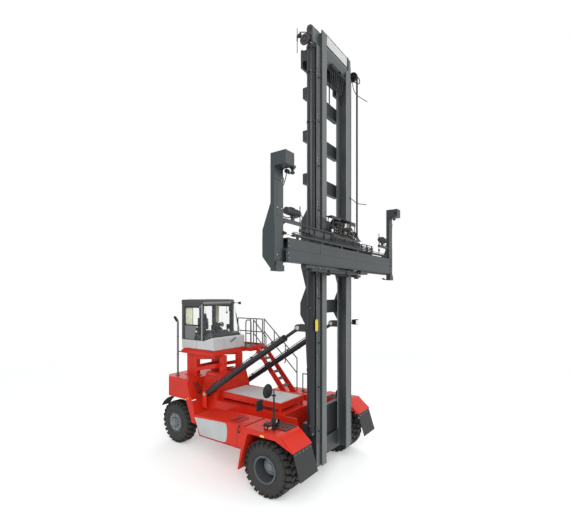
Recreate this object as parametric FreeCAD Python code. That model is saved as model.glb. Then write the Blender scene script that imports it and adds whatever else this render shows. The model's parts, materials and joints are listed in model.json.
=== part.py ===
import FreeCAD, Part
import math
import os

# Empty container handler: a lift truck with a tall two stage mast and a top
# spreader.  Millimetres.  +Z is up, the mast end faces -Y, +X is the driver's
# left.  Positions are measured from the drive axle's centre line on the ground,
# and every part is moved by originShift as it is saved.  A place that follows
# from another one is written as that place and a distance.

# ---- wheels and axles -------------------------------------------------------
wheelbase = 4550.0
tyreRadius = 690.0
tyreWidth = 375.0
treadWidth = 330.0
treadShoulder = 40.0
sideWallDrop = 90.0
beadRadius = 305.0
beadHeight = 40.0
beadFit = 0.3
rimWall = 14.0
rimHalfWidth = 165.0
rimFlange = 30.0
rimLipThickness = 12.0
rimSeat = 6.0
discPlate = 16.0
outerDriveX = 1880.0
innerDriveX = 1440.0
hubRadius = 165.0
driveHubInner = 1262.0
driveHubOuter = 1800.0
driveSpindleRadius = 100.0
driveSpindleEnd = 1560.0
driveHousingRadius = 205.0
driveHousingEnd = 1250.0
differentialRadius = 330.0
differentialHalf = 260.0
steerWheelX = 930.0
kingpinX = 690.0
kingpinRadius = 45.0
kingpinHalf = 125.0
knuckleBossRadius = 85.0
knuckleBossHalf = 90.0
knuckleShoulderRadius = 80.0
steerLug = 39.0
steerSpindleRadius = 55.0
steerHubRadius = 130.0
steerHubInner = 800.0
steerHubOuter = 1160.0
steerBoreShort = 60.0
steerSpindleShort = 70.0
steerBeamHalfDepth = 120.0
steerBeamShort = 135.0
steerBeamHalfHeight = 130.0
saddleHalfWidth = 110.0
saddleHalfDepth = 150.0
runningFit = 0.05
stepGap = 1.0

# ---- depth of the mast's channels -------------------------------------------
innerFlangeFront = -880.0
flangePlate = 30.0
liftRadius = 112.0
pocketDepth = 2 * liftRadius + 26.0
mastGap = 10.0
outerFlangePlate = 25.0
outerFlangeSet = 60.0
innerRearFlange = innerFlangeFront + flangePlate + pocketDepth
outerFrontFlange = innerFlangeFront + outerFlangeSet
mastRearFace = innerRearFlange + flangePlate + mastGap + flangePlate

# ---- frame and lower body ---------------------------------------------------
frameSideX = 760.0
framePlate = 40.0
frameTop = 2 * tyreRadius + 220.0
frameBottom = tyreRadius - 70.0
frameTailRise = 480.0
frameTailRun = 500.0
frameFrontTopY = -80.0
floorPlate = 20.0
bulkheadY = 380.0
mastPivotY = mastRearFace + 130.0
mastPivotZ = tyreRadius + 110.0
mastNose = 100.0
noseBackY = mastPivotY + 70.0
noseBackZ = mastPivotZ + 180.0
frameRear = wheelbase - 990.0
tailRear = wheelbase + 510.0
tailSideX = 560.0
bridgeHalfDepth = 160.0
housingFit = 0.3
engineHalfWidth = 380.0
engineFront = frameRear - 460.0
engineRear = frameRear - 80.0
engineBottom = frameBottom + 600.0
hoodFront = frameRear - 595.0
fenderOuterX = 2140.0
fenderInnerX = 1330.0
fenderTop = frameTop + 40.0
fenderPlate = 140.0
fenderFrontY = -480.0
fenderSlopeY = -380.0
fenderLipY = -tyreRadius - 190.0
fenderLipZ = fenderTop - 330.0
fenderLipPlate = 25.0
skirtTopY = tyreRadius - 190.0
skirtFoldY = tyreRadius - 260.0
skirtRimY = tyreRadius - 130.0
skirtBackY = tyreRadius - 90.0
skirtFootY = tyreRadius + 90.0
skirtFootZ = fenderTop - 1120.0
skirtPlate = 30.0
flapThickness = 14.0
flapInset = 20.0
flapTipY = fenderLipY - 200.0
flapTipZ = tyreRadius + 10.0
tankOuterX = 2100.0
tankInnerX = fenderInnerX
tankFront = tyreRadius - 70.0
tankFrontLean = 108.0
tankRearLean = 180.0
tankRear = hoodFront - 505.0
tankTop = fenderTop
tankRearTop = tankTop - 65.0
tankBottom = frameTop - 570.0
tankFrontEdge = 80.0
walkwayTop = frameTop - 200.0
walkwayPlate = 40.0
walkwayFront = tankFront - 60.0
hoodHalfWidth = 780.0
hoodTopHalf = 600.0
deckHalfWidth = 600.0
deckFront = bulkheadY + 210.0
deckRear = hoodFront - 10.0
deckTop = frameTop + 240.0
deckRim = 60.0
deckPanelDepth = 50.0
deckPanelDrop = 10.0
deckLowerEdge = frameTop + 60.0
deckFoot = 50.0
deckFootDepth = 80.0
deckFootInset = 20.0

# ---- counterweight and hood -------------------------------------------------
weightHalfWidth = 1250.0
weightFront = wheelbase - 910.0
weightRear = wheelbase + 710.0
weightCornerY = wheelbase + 180.0
weightFrontChamfer = 70.0
weightRearChamfer = 310.0
weightCornerIn = 250.0
weightTailIn = 420.0
weightLean = 210.0
weightTailRun = 200.0
weightTailDrop = 160.0
weightBottom = frameTop - 20.0
weightTop = weightBottom + 620.0
weightBevel = 90.0
tailBottom = weightBottom - 140.0
towPinRadius = 20.5
towPinY = weightRear - 90.0
towSlotHalf = 110.0
towSlotFront = towPinY - 60.0
towSlotLow = weightBottom + 270.0
towSlotHigh = towSlotLow + 100.0
towPinBottom = towSlotLow - 60.0
hoodRear = weightFront - 10.0
hoodShoulder = frameTop + 250.0
hoodTop = weightTop + 190.0
archTopBack = 230.0
archTopFront = 80.0
archFootFront = 240.0
archFootBack = 60.0
archPlate = 40.0
archFacePlate = 20.0
archBottom = weightBottom - 680.0
mudguardInnerX = 780.0
mudguardRadius = tyreRadius + 150.0
mudguardPlate = 14.0
mudguardReach = 1000.0
mudguardEndRise = 600.0

# ---- mast -------------------------------------------------------------------
mastPinRadius = 60.0
mastPinLength = 75.0
innerFlangeInX = 580.0
innerFlangeOutX = 810.0
innerWebX = 700.0
webPlate = 26.0
outerWebX = 830.0
liftX = outerWebX + webPlate + liftRadius + 32.0
liftY = outerFrontFlange + outerFlangePlate + liftRadius + 13.0
outerFlangeOutX = liftX - 10.0
outerRearFlangeOutX = liftX - 65.0
mastBottom = mastPivotZ - 240.0
innerMastTop = 11680.0
outerMastTop = innerMastTop - 430.0
mastFootRise = 240.0
mastFootGap = 8.0
mastFootPlate = 50.0
topBeamMiddle = innerMastTop - 370.0
topBeamLow = innerMastTop - 630.0
topBeamRun = 180.0
topBeamDrop = 20.0
lowBeamHeight = 480.0
sheaveRadius = 125.0
sheaveGap = 8.0
sheaveWidth = 45.0
sheaveArmHalf = 40.0
rightSheaveY = liftY + 100.0
rightSheaveZ = innerMastTop - 310.0
leftSheaveY = liftY - 130.0
leftSheaveZ = innerMastTop - 290.0
slidePad = 250.0
slidePadRise = 60.0
padPlay = 0.3
tiltEyeZ = 4060.0
crossbarHeight = 360.0
crossbarDepth = 120.0
crossbarReach = liftX
crossbarEndHeight = 270.0
crossbarEndX = 700.0
footCrossbar = mastBottom + 550.0
footCrossbarHeight = 740.0
lowCrossbar = tiltEyeZ + 360.0
highCrossbar = outerMastTop - 1320.0
headCrossbar = outerMastTop - 360.0
evenCrossbars = 6
headBlockBottom = outerMastTop - 470.0
headBlockRear = mastRearFace + 180.0
headBlockDrop = 10.0
mastLampLevel = 4030.0
mastLampHeight = 150.0
mastLampHalf = 60.0
mastLampWidth = 160.0
mastLampOuterX = outerFlangeOutX + 340.0
mastLampArm = 40.0
liftBottom = mastBottom + 890.0
liftShelf = 60.0
liftShelfHalf = 90.0
liftGussetBottom = mastBottom + 340.0
liftTop = outerMastTop - 10.0
liftRodRadius = 70.0
liftRodStart = 80.0
liftCollarLevel = outerMastTop - 3260.0
liftCollarHeight = 70.0
liftCollarHalf = 60.0
liftEarLow = liftTop + 60.0
liftEarHigh = innerMastTop + 60.0
liftEarHalf = 80.0
liftEarDepth = 90.0
liftEarCorner = 60.0

# ---- tilt cylinders ---------------------------------------------------------
tiltX = 900.0
tiltBaseY = frameRear - 260.0
tiltBaseZ = frameTop + 180.0
tiltEyeY = -240.0
tiltPinRadius = 40.0
tiltEyeSlack = 10.0
tiltBarrelRadius = 85.0
tiltRodShown = 560.0
tiltRodRadius = 45.0
tiltBoreStart = 400.0
tiltRodStart = 860.0
tiltRodShort = 40.0
tiltNeckRadius = 50.0
tiltNeck = 110.0
tiltEyeRadius = 92.0
tiltEyeHalf = 55.0
tiltLug = 30.0
tiltLugGap = 5.0
tiltFootDrop = 200.0
tiltFootPlate = 40.0
tiltBracketHalf = 20.0
tiltBracketLow = tiltEyeZ - 960.0
tiltBracketHigh = tiltEyeZ + 3140.0
bracketJoint = tiltEyeZ + 1050.0
bracketTopDepth = 230.0
bracketTopSlope = 350.0
bracketTopRise = 540.0
bracketWaist = 80.0
bracketLowDepth = 250.0
bracketLowDrop = 400.0
bracketLowEnd = 710.0
bracketToe = 960.0
bracketToeHigh = 100.0
bracketToeLow = 50.0
lugPlateHalf = 190.0
lugPlateDepth = 40.0
lugPlateInset = 20.0

# ---- carriage and spreader --------------------------------------------------
carriagePlateX = 520.0
carriagePlate = 40.0
carriageBottom = 5420.0
carriageTop = carriageBottom + 1230.0
rollerLevels = (carriageBottom + 450.0, carriageBottom + 1100.0)
guideHalf = 700.0
guideRear = innerFlangeFront - 80.0
guideUpperHeight = 300.0
guideLowerHeight = 120.0
guideUpperGap = 70.0
guideLowerGap = 10.0
guidePostWidth = 150.0
rollerPlay = 0.3
beamRear = guideRear - 185.0
beamFront = beamRear - 150.0
beamHalfLength = 2920.0
beamBottom = carriageBottom + 180.0
beamTop = beamBottom + 480.0
beamPlate = 12.0
armPlay = 6.0
armPadPlay = 0.3
armPadLength = 300.0
armTail = beamHalfLength - 220.0
postInX = beamHalfLength + 60.0
postOutX = postInX + 295.0
postFront = beamFront + 70.0
postRear = beamRear + 15.0
postBottom = beamBottom - 200.0
postTop = beamTop + 1390.0
cheekRear = postRear + 205.0
cheekPlate = 40.0
cheekBackHigh = beamTop + 150.0
cheekFrontHigh = beamTop + 670.0
cheekFrontLow = postBottom + 50.0
cheekBackLow = postBottom + 290.0
collarDrop = 260.0
collarHeight = 90.0
collarPlate = 12.0
footInset = 10.0
footDepth = 40.0
footHeight = 120.0
headFront = postFront - 275.0
headTop = postTop + 260.0
lockX = postInX - 53.5
lockY = headFront + 80.0
lockRadius = 28.0
lockLength = 90.0
lockPlate = 50.0
lockPlateHalf = 50.0
postLampRadius = 75.0
postLampZ = beamTop + 600.0
postLampInset = 200.0
postLampLength = 450.0
postArmReach = 730.0
postArmLow = beamTop + 350.0
postArmHeight = 70.0
postArmSet = 30.0
postStayX = 400.0
postStayWidth = 60.0

# ---- cab stand, platform and stair ------------------------------------------
standX = 640.0
standFrontX = 450.0
standFront = hoodFront + 20.0
standRear = weightFront + 420.0
standFrontLeg = 150.0
standFrontDepth = 195.0
standRearLeg = 160.0
standRearDepth = 480.0
standWeb = 40.0
standWebFront = 100.0
standWebRear = 200.0
standBeam = 130.0
standBeamRise = 170.0
standBeamRear = 110.0
standTieRise = 220.0
standTieHeight = 140.0
standTieDepth = 60.0
platformTop = hoodTop + 670.0
platformPlate = 110.0
platformFront = hoodFront + 165.0
platformRear = weightFront + 1020.0
landingFront = hoodFront - 65.0
landingOuter = 1560.0
cabMountRadius = 50.0
cabMountX = 560.0
ladderInner = 1060.0
ladderOuter = landingOuter
ladderPlate = 40.0
ladderRun = 1400.0
ladderFoot = landingFront - ladderRun
ladderStringer = 260.0
ladderHeadCut = 120.0
ladderSteps = 6
ladderTread = 190.0
ladderTreadPlate = 30.0
railRadius = 20.0
railX = 1620.0
railTop = platformTop + 970.0
railMiddle = platformTop + 500.0
railInset = 60.0
innerRailRun = 560.0
innerRailFoot = platformTop - 500.0
stairRailDrop = 1300.0
stairRailMiddle = tankTop + 600.0
loopTop = tankTop + 590.0
loopFront = tankFront + 390.0
loopBack = tankFront + 670.0

# ---- cab --------------------------------------------------------------------
cabHalfWidth = 730.0
platformHalf = cabHalfWidth + 50.0
cabNose = platformFront + 20.0
cabRear = platformRear + 40.0
cabRoofFront = cabNose + 480.0
cabFloorBottom = platformTop + 60.0
cabFloor = 60.0
cabBandTop = cabFloorBottom + 280.0
cabNoseTop = cabFloorBottom + 410.0
cabNoseEdge = 40.0
cabNoseDrop = 50.0
cowlPlate = 18.0
cabRoofTop = cabFloorBottom + 1630.0
cabRoofDepth = 150.0
cabRoofEdge = 20.0
cabRoofFall = 60.0
cabPillar = 60.0
cabFrontPillar = 94.0
cabSill = 150.0
cabHeader = 80.0
glassThickness = 8.0
glassInset = 30.0
screenInset = 20.0
screenFoot = 90.0
screenHead = 6.0
doorFront = cabNose + 610.0
doorRear = cabRear - 140.0
doorGap = 6.0
doorLeafDepth = 50.0
doorFrame = 70.0
doorLower = 350.0
doorHead = 80.0
doorSwingClear = doorRear - 390.0
cowlRear = doorFront - 140.0
hingeX = cabHalfWidth + 16.0
hingeY = doorRear + 8.0
hingeRadius = 8.0
hingeBarrel = 15.0
hingeLength = 60.0
hingePlate = 8.0
hingeStrap = 80.0
hingeRise = 60.0
hingeTopDrop = 200.0
seatBaseHalf = 200.0
seatBaseDepth = 400.0
seatBaseHeight = 360.0
seatRear = cabRear - 200.0
cushionHalf = 250.0
cushionDepth = 500.0
cushionHeight = 120.0
backHalf = 240.0
backDepth = 120.0
backHeight = 610.0
columnHalf = 60.0
columnRear = cabNose + 530.0
columnHeight = 560.0
steeringRadius = 190.0
steeringRing = 25.0
steeringY = columnRear + 20.0
steeringZ = cabFloorBottom + 760.0
steeringLean = 12.0
steeringHub = 35.0
spokeHalf = 180.0

# ---- exhaust, mirrors and lamps ---------------------------------------------
exhaustX = -platformHalf - 170.0
exhaustY = weightRear - 620.0
exhaustRadius = 32.0
exhaustBend = weightTop + 1800.0
exhaustTip = 150.0
mirrorX = -1900.0
mirrorPostY = -165.0
mirrorPostRadius = 14.0
mirrorPostTop = fenderTop + 1000.0
mirrorArmRadius = 12.0
roundMirrorY = 20.0
roundMirrorZ = fenderTop + 920.0
roundMirrorRadius = 165.0
roundMirrorDepth = 26.0
roundArmZ = fenderTop + 840.0
squareMirrorY = 280.0
squareMirrorLow = fenderTop + 390.0
squareMirrorHeight = 270.0
squareMirrorHalf = 110.0
squareMirrorDepth = 24.0
squareArmZ = fenderTop + 540.0
lampOuterX = 2010.0
lampWidth = 160.0
lampHalf = 60.0
lampStayIn = 1600.0
lampStayHeight = 40.0
headLampX = 1690.0
headLampRadius = 85.0
headLampRise = 125.0
headLampFront = -110.0
headLampRear = 30.0

frontMost = headFront
rearMost = weightRear
originShift = -(frontMost + rearMost) / 2.0


def vec(x, y, z):
    return FreeCAD.Vector(x, y, z)


def box(x0, x1, y0, y1, z0, z1):
    return Part.makeBox(x1 - x0, y1 - y0, z1 - z0, vec(x0, y0, z0))


def rod(radius, start, end):
    a = vec(*start)
    b = vec(*end)
    return Part.makeCylinder(radius, (b - a).Length, a, b - a)


def ring(outer, inner, start, end):
    return rod(outer, start, end).cut(rod(inner, start, end))


def prismX(points, x0, x1):
    loop = [vec(x0, y, z) for y, z in points]
    return Part.Face(Part.makePolygon(loop + loop[:1])).extrude(vec(x1 - x0, 0, 0))


def prismY(points, y0, y1):
    loop = [vec(x, y0, z) for x, z in points]
    return Part.Face(Part.makePolygon(loop + loop[:1])).extrude(vec(0, y1 - y0, 0))


def prismZ(points, z0, z1):
    loop = [vec(x, y, z0) for x, y in points]
    return Part.Face(Part.makePolygon(loop + loop[:1])).extrude(vec(0, 0, z1 - z0))


def mirrored(shape):
    return shape.mirror(vec(0, 0, 0), vec(1, 0, 0))


def pair(shape):
    return [shape, mirrored(shape)]


def join(shapes):
    result = shapes[0]
    for shape in shapes[1:]:
        result = result.fuse(shape)
    return result.removeSplitter()


def rail(radius, points):
    pieces = [rod(radius, a, b) for a, b in zip(points, points[1:])]
    pieces += [Part.makeSphere(radius, vec(*p)) for p in points[1:-1]]
    return join(pieces)


def spin(points, x):
    """Turn an (offset, radius) outline about the wheel's axle line at x."""
    loop = [vec(x + a, 0, r) for a, r in points]
    face = Part.Face(Part.makePolygon(loop + loop[:1]))
    return face.revolve(vec(0, 0, 0), vec(1, 0, 0), 360)


def save(name, shapes):
    shapes = shapes if isinstance(shapes, list) else [shapes]
    solids = []
    for shape in shapes:
        solids += shape.Solids
    body = solids[0] if len(solids) == 1 else Part.makeCompound(solids)
    body = body.copy()
    body.translate(vec(0, originShift, 0))
    body.exportStep("parts/" + name + ".step")
    print(name, len(solids), round(body.Volume / 1e9, 4))


# ---- wheels -----------------------------------------------------------------

def tyre(x):
    half = tyreWidth / 2
    tread = treadWidth / 2
    waist = (tyreRadius + beadRadius) / 2
    inner = rimHalfWidth - rimSeat
    oneSide = [(inner, beadRadius + beadFit), (rimHalfWidth, beadRadius + beadHeight), (half, waist),
               (half, tyreRadius - sideWallDrop), (tread, tyreRadius - treadShoulder / 3),
               (tread - treadShoulder, tyreRadius)]
    otherSide = [(-a, r) for a, r in reversed(oneSide)]
    return spin(oneSide + otherSide, x)


def rimBarrel(x, discSide):
    r = beadRadius
    w = rimHalfWidth
    lip = rimFlange
    seat = w + rimSeat
    edge = seat + rimLipThickness
    outline = [(-seat, r + lip), (-edge, r + lip), (-edge, r - rimWall), (edge, r - rimWall),
               (edge, r + lip), (seat, r + lip), (seat, r), (-seat, r)]
    barrel = spin(outline, x)
    near = x + discSide * seat
    far = near + discSide * discPlate
    disc = rod(r - rimWall / 2, (min(near, far), 0, 0), (max(near, far), 0, 0))
    return join([barrel, disc])


def driveWheel():
    tyres = [tyre(outerDriveX), tyre(innerDriveX)]
    hub = rod(hubRadius, (driveHubInner, 0, 0), (driveHubOuter, 0, 0))
    rims = join([rimBarrel(outerDriveX, -1), rimBarrel(innerDriveX, 1), hub])
    boreEnd = driveSpindleEnd + rimSeat
    rims = rims.cut(rod(driveSpindleRadius + runningFit, (driveHubInner - stepGap, 0, 0), (boreEnd, 0, 0)))
    for shape in tyres + [rims]:
        shape.translate(vec(0, 0, tyreRadius))
    return tyres, rims


def steerWheel():
    rubber = tyre(steerWheelX)
    hub = rod(steerHubRadius, (steerHubInner, 0, 0), (steerHubOuter, 0, 0))
    rim = join([rimBarrel(steerWheelX, 1), hub])
    boreEnd = steerHubOuter - steerBoreShort
    rim = rim.cut(rod(steerSpindleRadius + runningFit, (steerHubInner - stepGap, 0, 0), (boreEnd, 0, 0)))
    for shape in (rubber, rim):
        shape.translate(vec(0, wheelbase, tyreRadius))
    return rubber, rim


def knuckle():
    z = tyreRadius
    y = wheelbase
    reach = knuckleBossHalf
    boss = rod(knuckleBossRadius, (kingpinX, y, z - reach), (kingpinX, y, z + reach))
    spindle = rod(steerSpindleRadius, (kingpinX, y, z), (steerHubOuter - steerSpindleShort, y, z))
    shoulder = rod(knuckleShoulderRadius, (kingpinX, y, z), (steerHubInner - stepGap, y, z))
    body = join([boss, spindle, shoulder])
    reach += stepGap
    return body.cut(rod(kingpinRadius + runningFit, (kingpinX, y, z - reach), (kingpinX, y, z + reach)))


def rearMudguard():
    """A bent strip behind the steered wheel, wide enough for the wheel at full lock."""
    z = tyreRadius
    inner = mudguardInnerX
    outer = steerWheelX + tyreWidth / 2
    outside = mudguardRadius + mudguardPlate
    strip = ring(outside, mudguardRadius, (inner, wheelbase, z), (outer, wheelbase, z))
    far = wheelbase + mudguardReach
    high = z + mudguardReach
    wedge = prismX([(wheelbase, z), (wheelbase, high), (far, high), (far, z + mudguardEndRise)],
                   inner - stepGap, outer + stepGap)
    hangerLow = z + outside - mudguardPlate / 2
    hangers = box(inner, outer, wheelbase, wheelbase + mudguardPlate, hangerLow, weightBottom)
    return join([strip.common(wedge), hangers])


# ---- frame ------------------------------------------------------------------

def mainFrame():
    x0 = frameSideX
    x1 = frameSideX + framePlate
    nose = mastPivotY - mastNose
    side = [(mastPivotY + mastNose, frameBottom), (frameRear - frameTailRun, frameBottom),
            (frameRear, frameBottom + frameTailRise), (frameRear, frameTop), (frameFrontTopY, frameTop),
            (noseBackY, noseBackZ), (nose, mastPivotZ + mastNose), (nose, mastPivotZ - mastNose)]
    plate = prismX(side, x0, x1)
    z = tyreRadius
    notch = rod(driveHousingRadius + housingFit, (x0 - stepGap, 0, z), (x1 + stepGap, 0, z))
    plate = plate.cut(notch)
    front = box(-x0, x0, bulkheadY, bulkheadY + framePlate, frameBottom, frameTop)
    floorEnd = frameRear - frameTailRun - floorPlate
    floor = box(-x0, x0, bulkheadY + framePlate, floorEnd, frameBottom, frameBottom + floorPlate)
    rear = box(-x0, x0, frameRear - framePlate, frameRear, frameTop - frameTailRise, frameTop)
    cover = box(-x0, x0, bulkheadY + framePlate, frameRear - framePlate, frameTop - floorPlate, frameTop)
    bridgeFront = wheelbase - bridgeHalfDepth
    bridge = box(-tailSideX, tailSideX, bridgeFront, wheelbase + bridgeHalfDepth, tailBottom, weightBottom)
    tail = box(tailSideX, tailSideX + framePlate, frameRear, tailRear, tailBottom, weightBottom)
    return pair(plate) + [front, floor, rear, cover, bridge] + pair(tail)


def mastPins():
    start = frameSideX + framePlate
    end = start + mastPinLength
    pin = rod(mastPinRadius, (start, mastPivotY, mastPivotZ), (end, mastPivotY, mastPivotZ))
    return pair(pin)


def driveAxle():
    z = tyreRadius
    tube = rod(driveHousingRadius, (-driveHousingEnd, 0, z), (driveHousingEnd, 0, z))
    ball = rod(differentialRadius, (-differentialHalf, 0, z), (differentialHalf, 0, z))
    spindles = rod(driveSpindleRadius, (-driveSpindleEnd, 0, z), (driveSpindleEnd, 0, z))
    return join([tube, ball, spindles])


def steerAxle():
    z = tyreRadius
    y = wheelbase
    beamEnd = kingpinX - steerBeamShort
    beam = box(-beamEnd, beamEnd, y - steerBeamHalfDepth, y + steerBeamHalfDepth,
               z - steerBeamHalfHeight, z + steerBeamHalfHeight)
    saddle = box(-saddleHalfWidth, saddleHalfWidth, y - saddleHalfDepth, y + saddleHalfDepth,
                 z + steerBeamHalfHeight, tailBottom)
    pieces = [beam, saddle]
    gap = knuckleBossHalf + stepGap
    for side in (-1, 1):
        x = side * kingpinX
        inner = side * (beamEnd - stepGap)
        for z0 in (z + gap, z - gap - steerLug):
            lug = rod(knuckleBossRadius, (x, y, z0), (x, y, z0 + steerLug))
            a, b = sorted((inner, x))
            arm = box(a, b, y - knuckleBossRadius, y + knuckleBossRadius, z0, z0 + steerLug)
            pieces += [lug, arm]
        pieces.append(rod(kingpinRadius, (x, y, z - kingpinHalf), (x, y, z + kingpinHalf)))
    return join(pieces)


def fender():
    """Three plates bent over the drive wheels: rear skirt, flat top and sloping front."""
    x0 = fenderInnerX
    x1 = fenderOuterX
    under = fenderTop - fenderPlate
    rear = prismX([(skirtFootY, skirtFootZ), (skirtTopY, under - 2 * skirtPlate), (skirtFoldY, under),
                   (skirtRimY, fenderTop), (skirtBackY, fenderTop - tankFrontEdge),
                   (skirtFootY + skirtPlate, skirtFootZ + skirtPlate / 3)], x0, x1)
    top = prismX([(fenderSlopeY, under), (skirtFoldY, under), (skirtRimY, fenderTop),
                  (fenderFrontY, fenderTop)], x0, x1)
    front = prismX([(fenderLipY, fenderLipZ), (fenderSlopeY, under), (fenderFrontY, fenderTop),
                    (fenderFrontY - tankFrontEdge, fenderTop - skirtPlate),
                    (fenderLipY - fenderLipPlate / 2, fenderLipZ + fenderLipPlate)], x0, x1)
    return [rear, top, front]


def mudflap():
    lift = flapThickness * (fenderTop - fenderPlate - fenderLipZ) / (fenderSlopeY - fenderLipY)
    outline = [(fenderLipY, fenderLipZ), (flapTipY, flapTipZ), (flapTipY + flapThickness, flapTipZ),
               (fenderLipY + flapThickness, fenderLipZ + lift)]
    return prismX(outline, fenderInnerX + flapInset, fenderOuterX - flapInset)


def sideTank():
    outline = [(tankFront + tankFrontLean, tankBottom), (tankRear - tankRearLean, tankBottom),
               (tankRear, tankRearTop), (tankFront, tankTop), (tankFront, tankTop - tankFrontEdge)]
    return prismX(outline, tankInnerX, tankOuterX)


def walkway():
    inner = frameSideX + framePlate
    return box(inner, tankInnerX, walkwayFront, tankRear, walkwayTop - walkwayPlate, walkwayTop)


def deckFrame():
    x = deckHalfWidth
    r = deckRim
    low = deckLowerEdge
    front = box(-x, x, deckFront, deckFront + r, low, deckTop)
    rear = box(-x, x, deckRear - r, deckRear, low, deckTop)
    side = box(x - r, x, deckFront + r, deckRear - r, low, deckTop)
    return [front, rear] + pair(side)


def deckPanel():
    x = deckHalfWidth - deckRim
    top = deckTop - deckPanelDrop
    return box(-x, x, deckFront + deckRim, deckRear - deckRim, top - deckPanelDepth, top)


def deckFeet():
    feet = []
    inset = deckFootInset
    for y in (deckFront + inset, deckRear - inset - deckFootDepth):
        for x in (-deckHalfWidth + inset, deckHalfWidth - inset - deckFoot):
            feet.append(box(x, x + deckFoot, y, y + deckFootDepth, frameTop, deckLowerEdge))
    return feet


def engineBlock():
    x = engineHalfWidth
    return box(-x, x, engineFront, engineRear, engineBottom, frameTop - floorPlate)


def counterweight():
    x = weightHalfWidth
    half = [(weightFront, x - weightFrontChamfer), (weightFront + weightFrontChamfer, x), (weightCornerY, x),
            (weightCornerY + weightRearChamfer, x - weightCornerIn), (weightRear, x - weightTailIn)]
    loop = [(a, b) for b, a in half] + [(-a, b) for b, a in reversed(half)]
    plan = prismZ(loop, weightBottom, weightTop)
    side = [(weightFront, weightBottom), (weightRear, weightBottom),
            (weightRear, weightTop - weightTailDrop), (weightRear - weightTailRun, weightTop),
            (weightFront + weightLean, weightTop)]
    block = plan.common(prismX(side, -x, x))
    high = weightTop + stepGap
    rear = weightRear + stepGap
    bevel = prismY([(x + stepGap, high - weightBevel), (x + stepGap, high), (x - weightBevel, high)],
                   weightFront - stepGap, rear)
    block = block.cut(bevel).cut(mirrored(bevel))
    block = block.cut(box(-towSlotHalf, towSlotHalf, towSlotFront, rear, towSlotLow, towSlotHigh))
    return block.cut(rod(towPinRadius, (0, towPinY, towPinBottom), (0, towPinY, high)))


def rearHood():
    low = hoodHalfWidth
    top = hoodTopHalf
    outline = [(-low, frameTop), (low, frameTop), (low, hoodShoulder), (top, hoodTop), (-top, hoodTop),
               (-low, hoodShoulder)]
    return prismY(outline, hoodFront, hoodRear)


def archPanel():
    y = weightFront
    top = y - archTopFront
    foot = y - archFootFront
    outline = [(y + archTopBack, weightBottom), (top, weightBottom), (foot, archBottom),
               (y - archFootBack, archBottom)]
    inner = weightHalfWidth - archPlate
    skin = prismX(outline, inner, weightHalfWidth)
    face = [(top, weightBottom), (foot, archBottom), (foot + archFacePlate, archBottom),
            (top + archFacePlate, weightBottom)]
    return [skin, prismX(face, frameSideX + framePlate, inner)]


# ---- stand, platform, ladder -----------------------------------------------

def cabStand():
    """Two front legs on the hood, two rear legs on the counterweight, webs and sloping beams."""
    top = platformTop - platformPlate
    x = standX
    inner = standFrontX
    frontEnd = standFront + standFrontDepth
    front = box(inner - standFrontLeg, inner, standFront, frontEnd, hoodTop, top)
    rear = box(x - standRearLeg, x, standRear, standRear + standRearDepth, weightTop, top)
    web = prismX([(frontEnd, top - standWebFront), (standRear, top - standWebRear), (standRear, top),
                  (frontEnd, top)], x - standWeb, x)
    frontLow = hoodTop + standBeamRise
    rearLow = weightTop + standBeamRise
    beam = prismX([(frontEnd, frontLow), (standRear, rearLow), (standRear, rearLow + standBeamRear),
                   (frontEnd, frontLow + standBeam)], inner - standTieDepth, x)
    tieX = x - standRearLeg
    tieY = standRear + standWeb
    tieZ = weightTop + standTieRise
    tie = box(-tieX, tieX, tieY, tieY + standTieDepth, tieZ, tieZ + standTieHeight)
    return [piece for part in (front, rear, web, beam) for piece in pair(part)] + [tie]


def cabPlatform():
    low = platformTop - platformPlate
    under = box(-platformHalf, platformHalf, platformFront, platformRear, low, platformTop)
    landing = box(platformHalf, landingOuter, landingFront, platformRear, low, platformTop)
    mounts = []
    for x in (-cabMountX, cabMountX):
        for y in (cabNose + 4 * cabMountRadius, doorRear):
            mounts.append(rod(cabMountRadius, (x, y, platformTop), (x, y, cabFloorBottom)))
    return [under, landing] + mounts


def ladder():
    """A steep stair from the left walkway up to the landing."""
    foot = ladderFoot
    rise = platformTop - tankRearTop
    base = tankFootLevel(foot)
    pieces = []
    head = foot + ladderRun
    for x in (ladderInner, ladderOuter - ladderPlate):
        outline = [(foot, base), (foot + ladderStringer, tankFootLevel(foot + ladderStringer)),
                   (head, platformTop - platformPlate), (head, platformTop),
                   (head - ladderHeadCut, platformTop - ladderTreadPlate)]
        pieces.append(prismX(outline, x, x + ladderPlate))
    for i in range(ladderSteps):
        share = (i + 1) / (ladderSteps + 1)
        z = base + rise * share
        y = foot + 2 * ladderTreadPlate + ladderRun * share
        inner = ladderInner + ladderPlate
        pieces.append(box(inner, ladderOuter - ladderPlate, y, y + ladderTread, z - ladderTreadPlate, z))
    return pieces


def tankFootLevel(y):
    """Height of the tank's sloping top at y."""
    share = (y - tankFront) / (tankRear - tankFront)
    return tankTop + (tankRearTop - tankTop) * share


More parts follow.
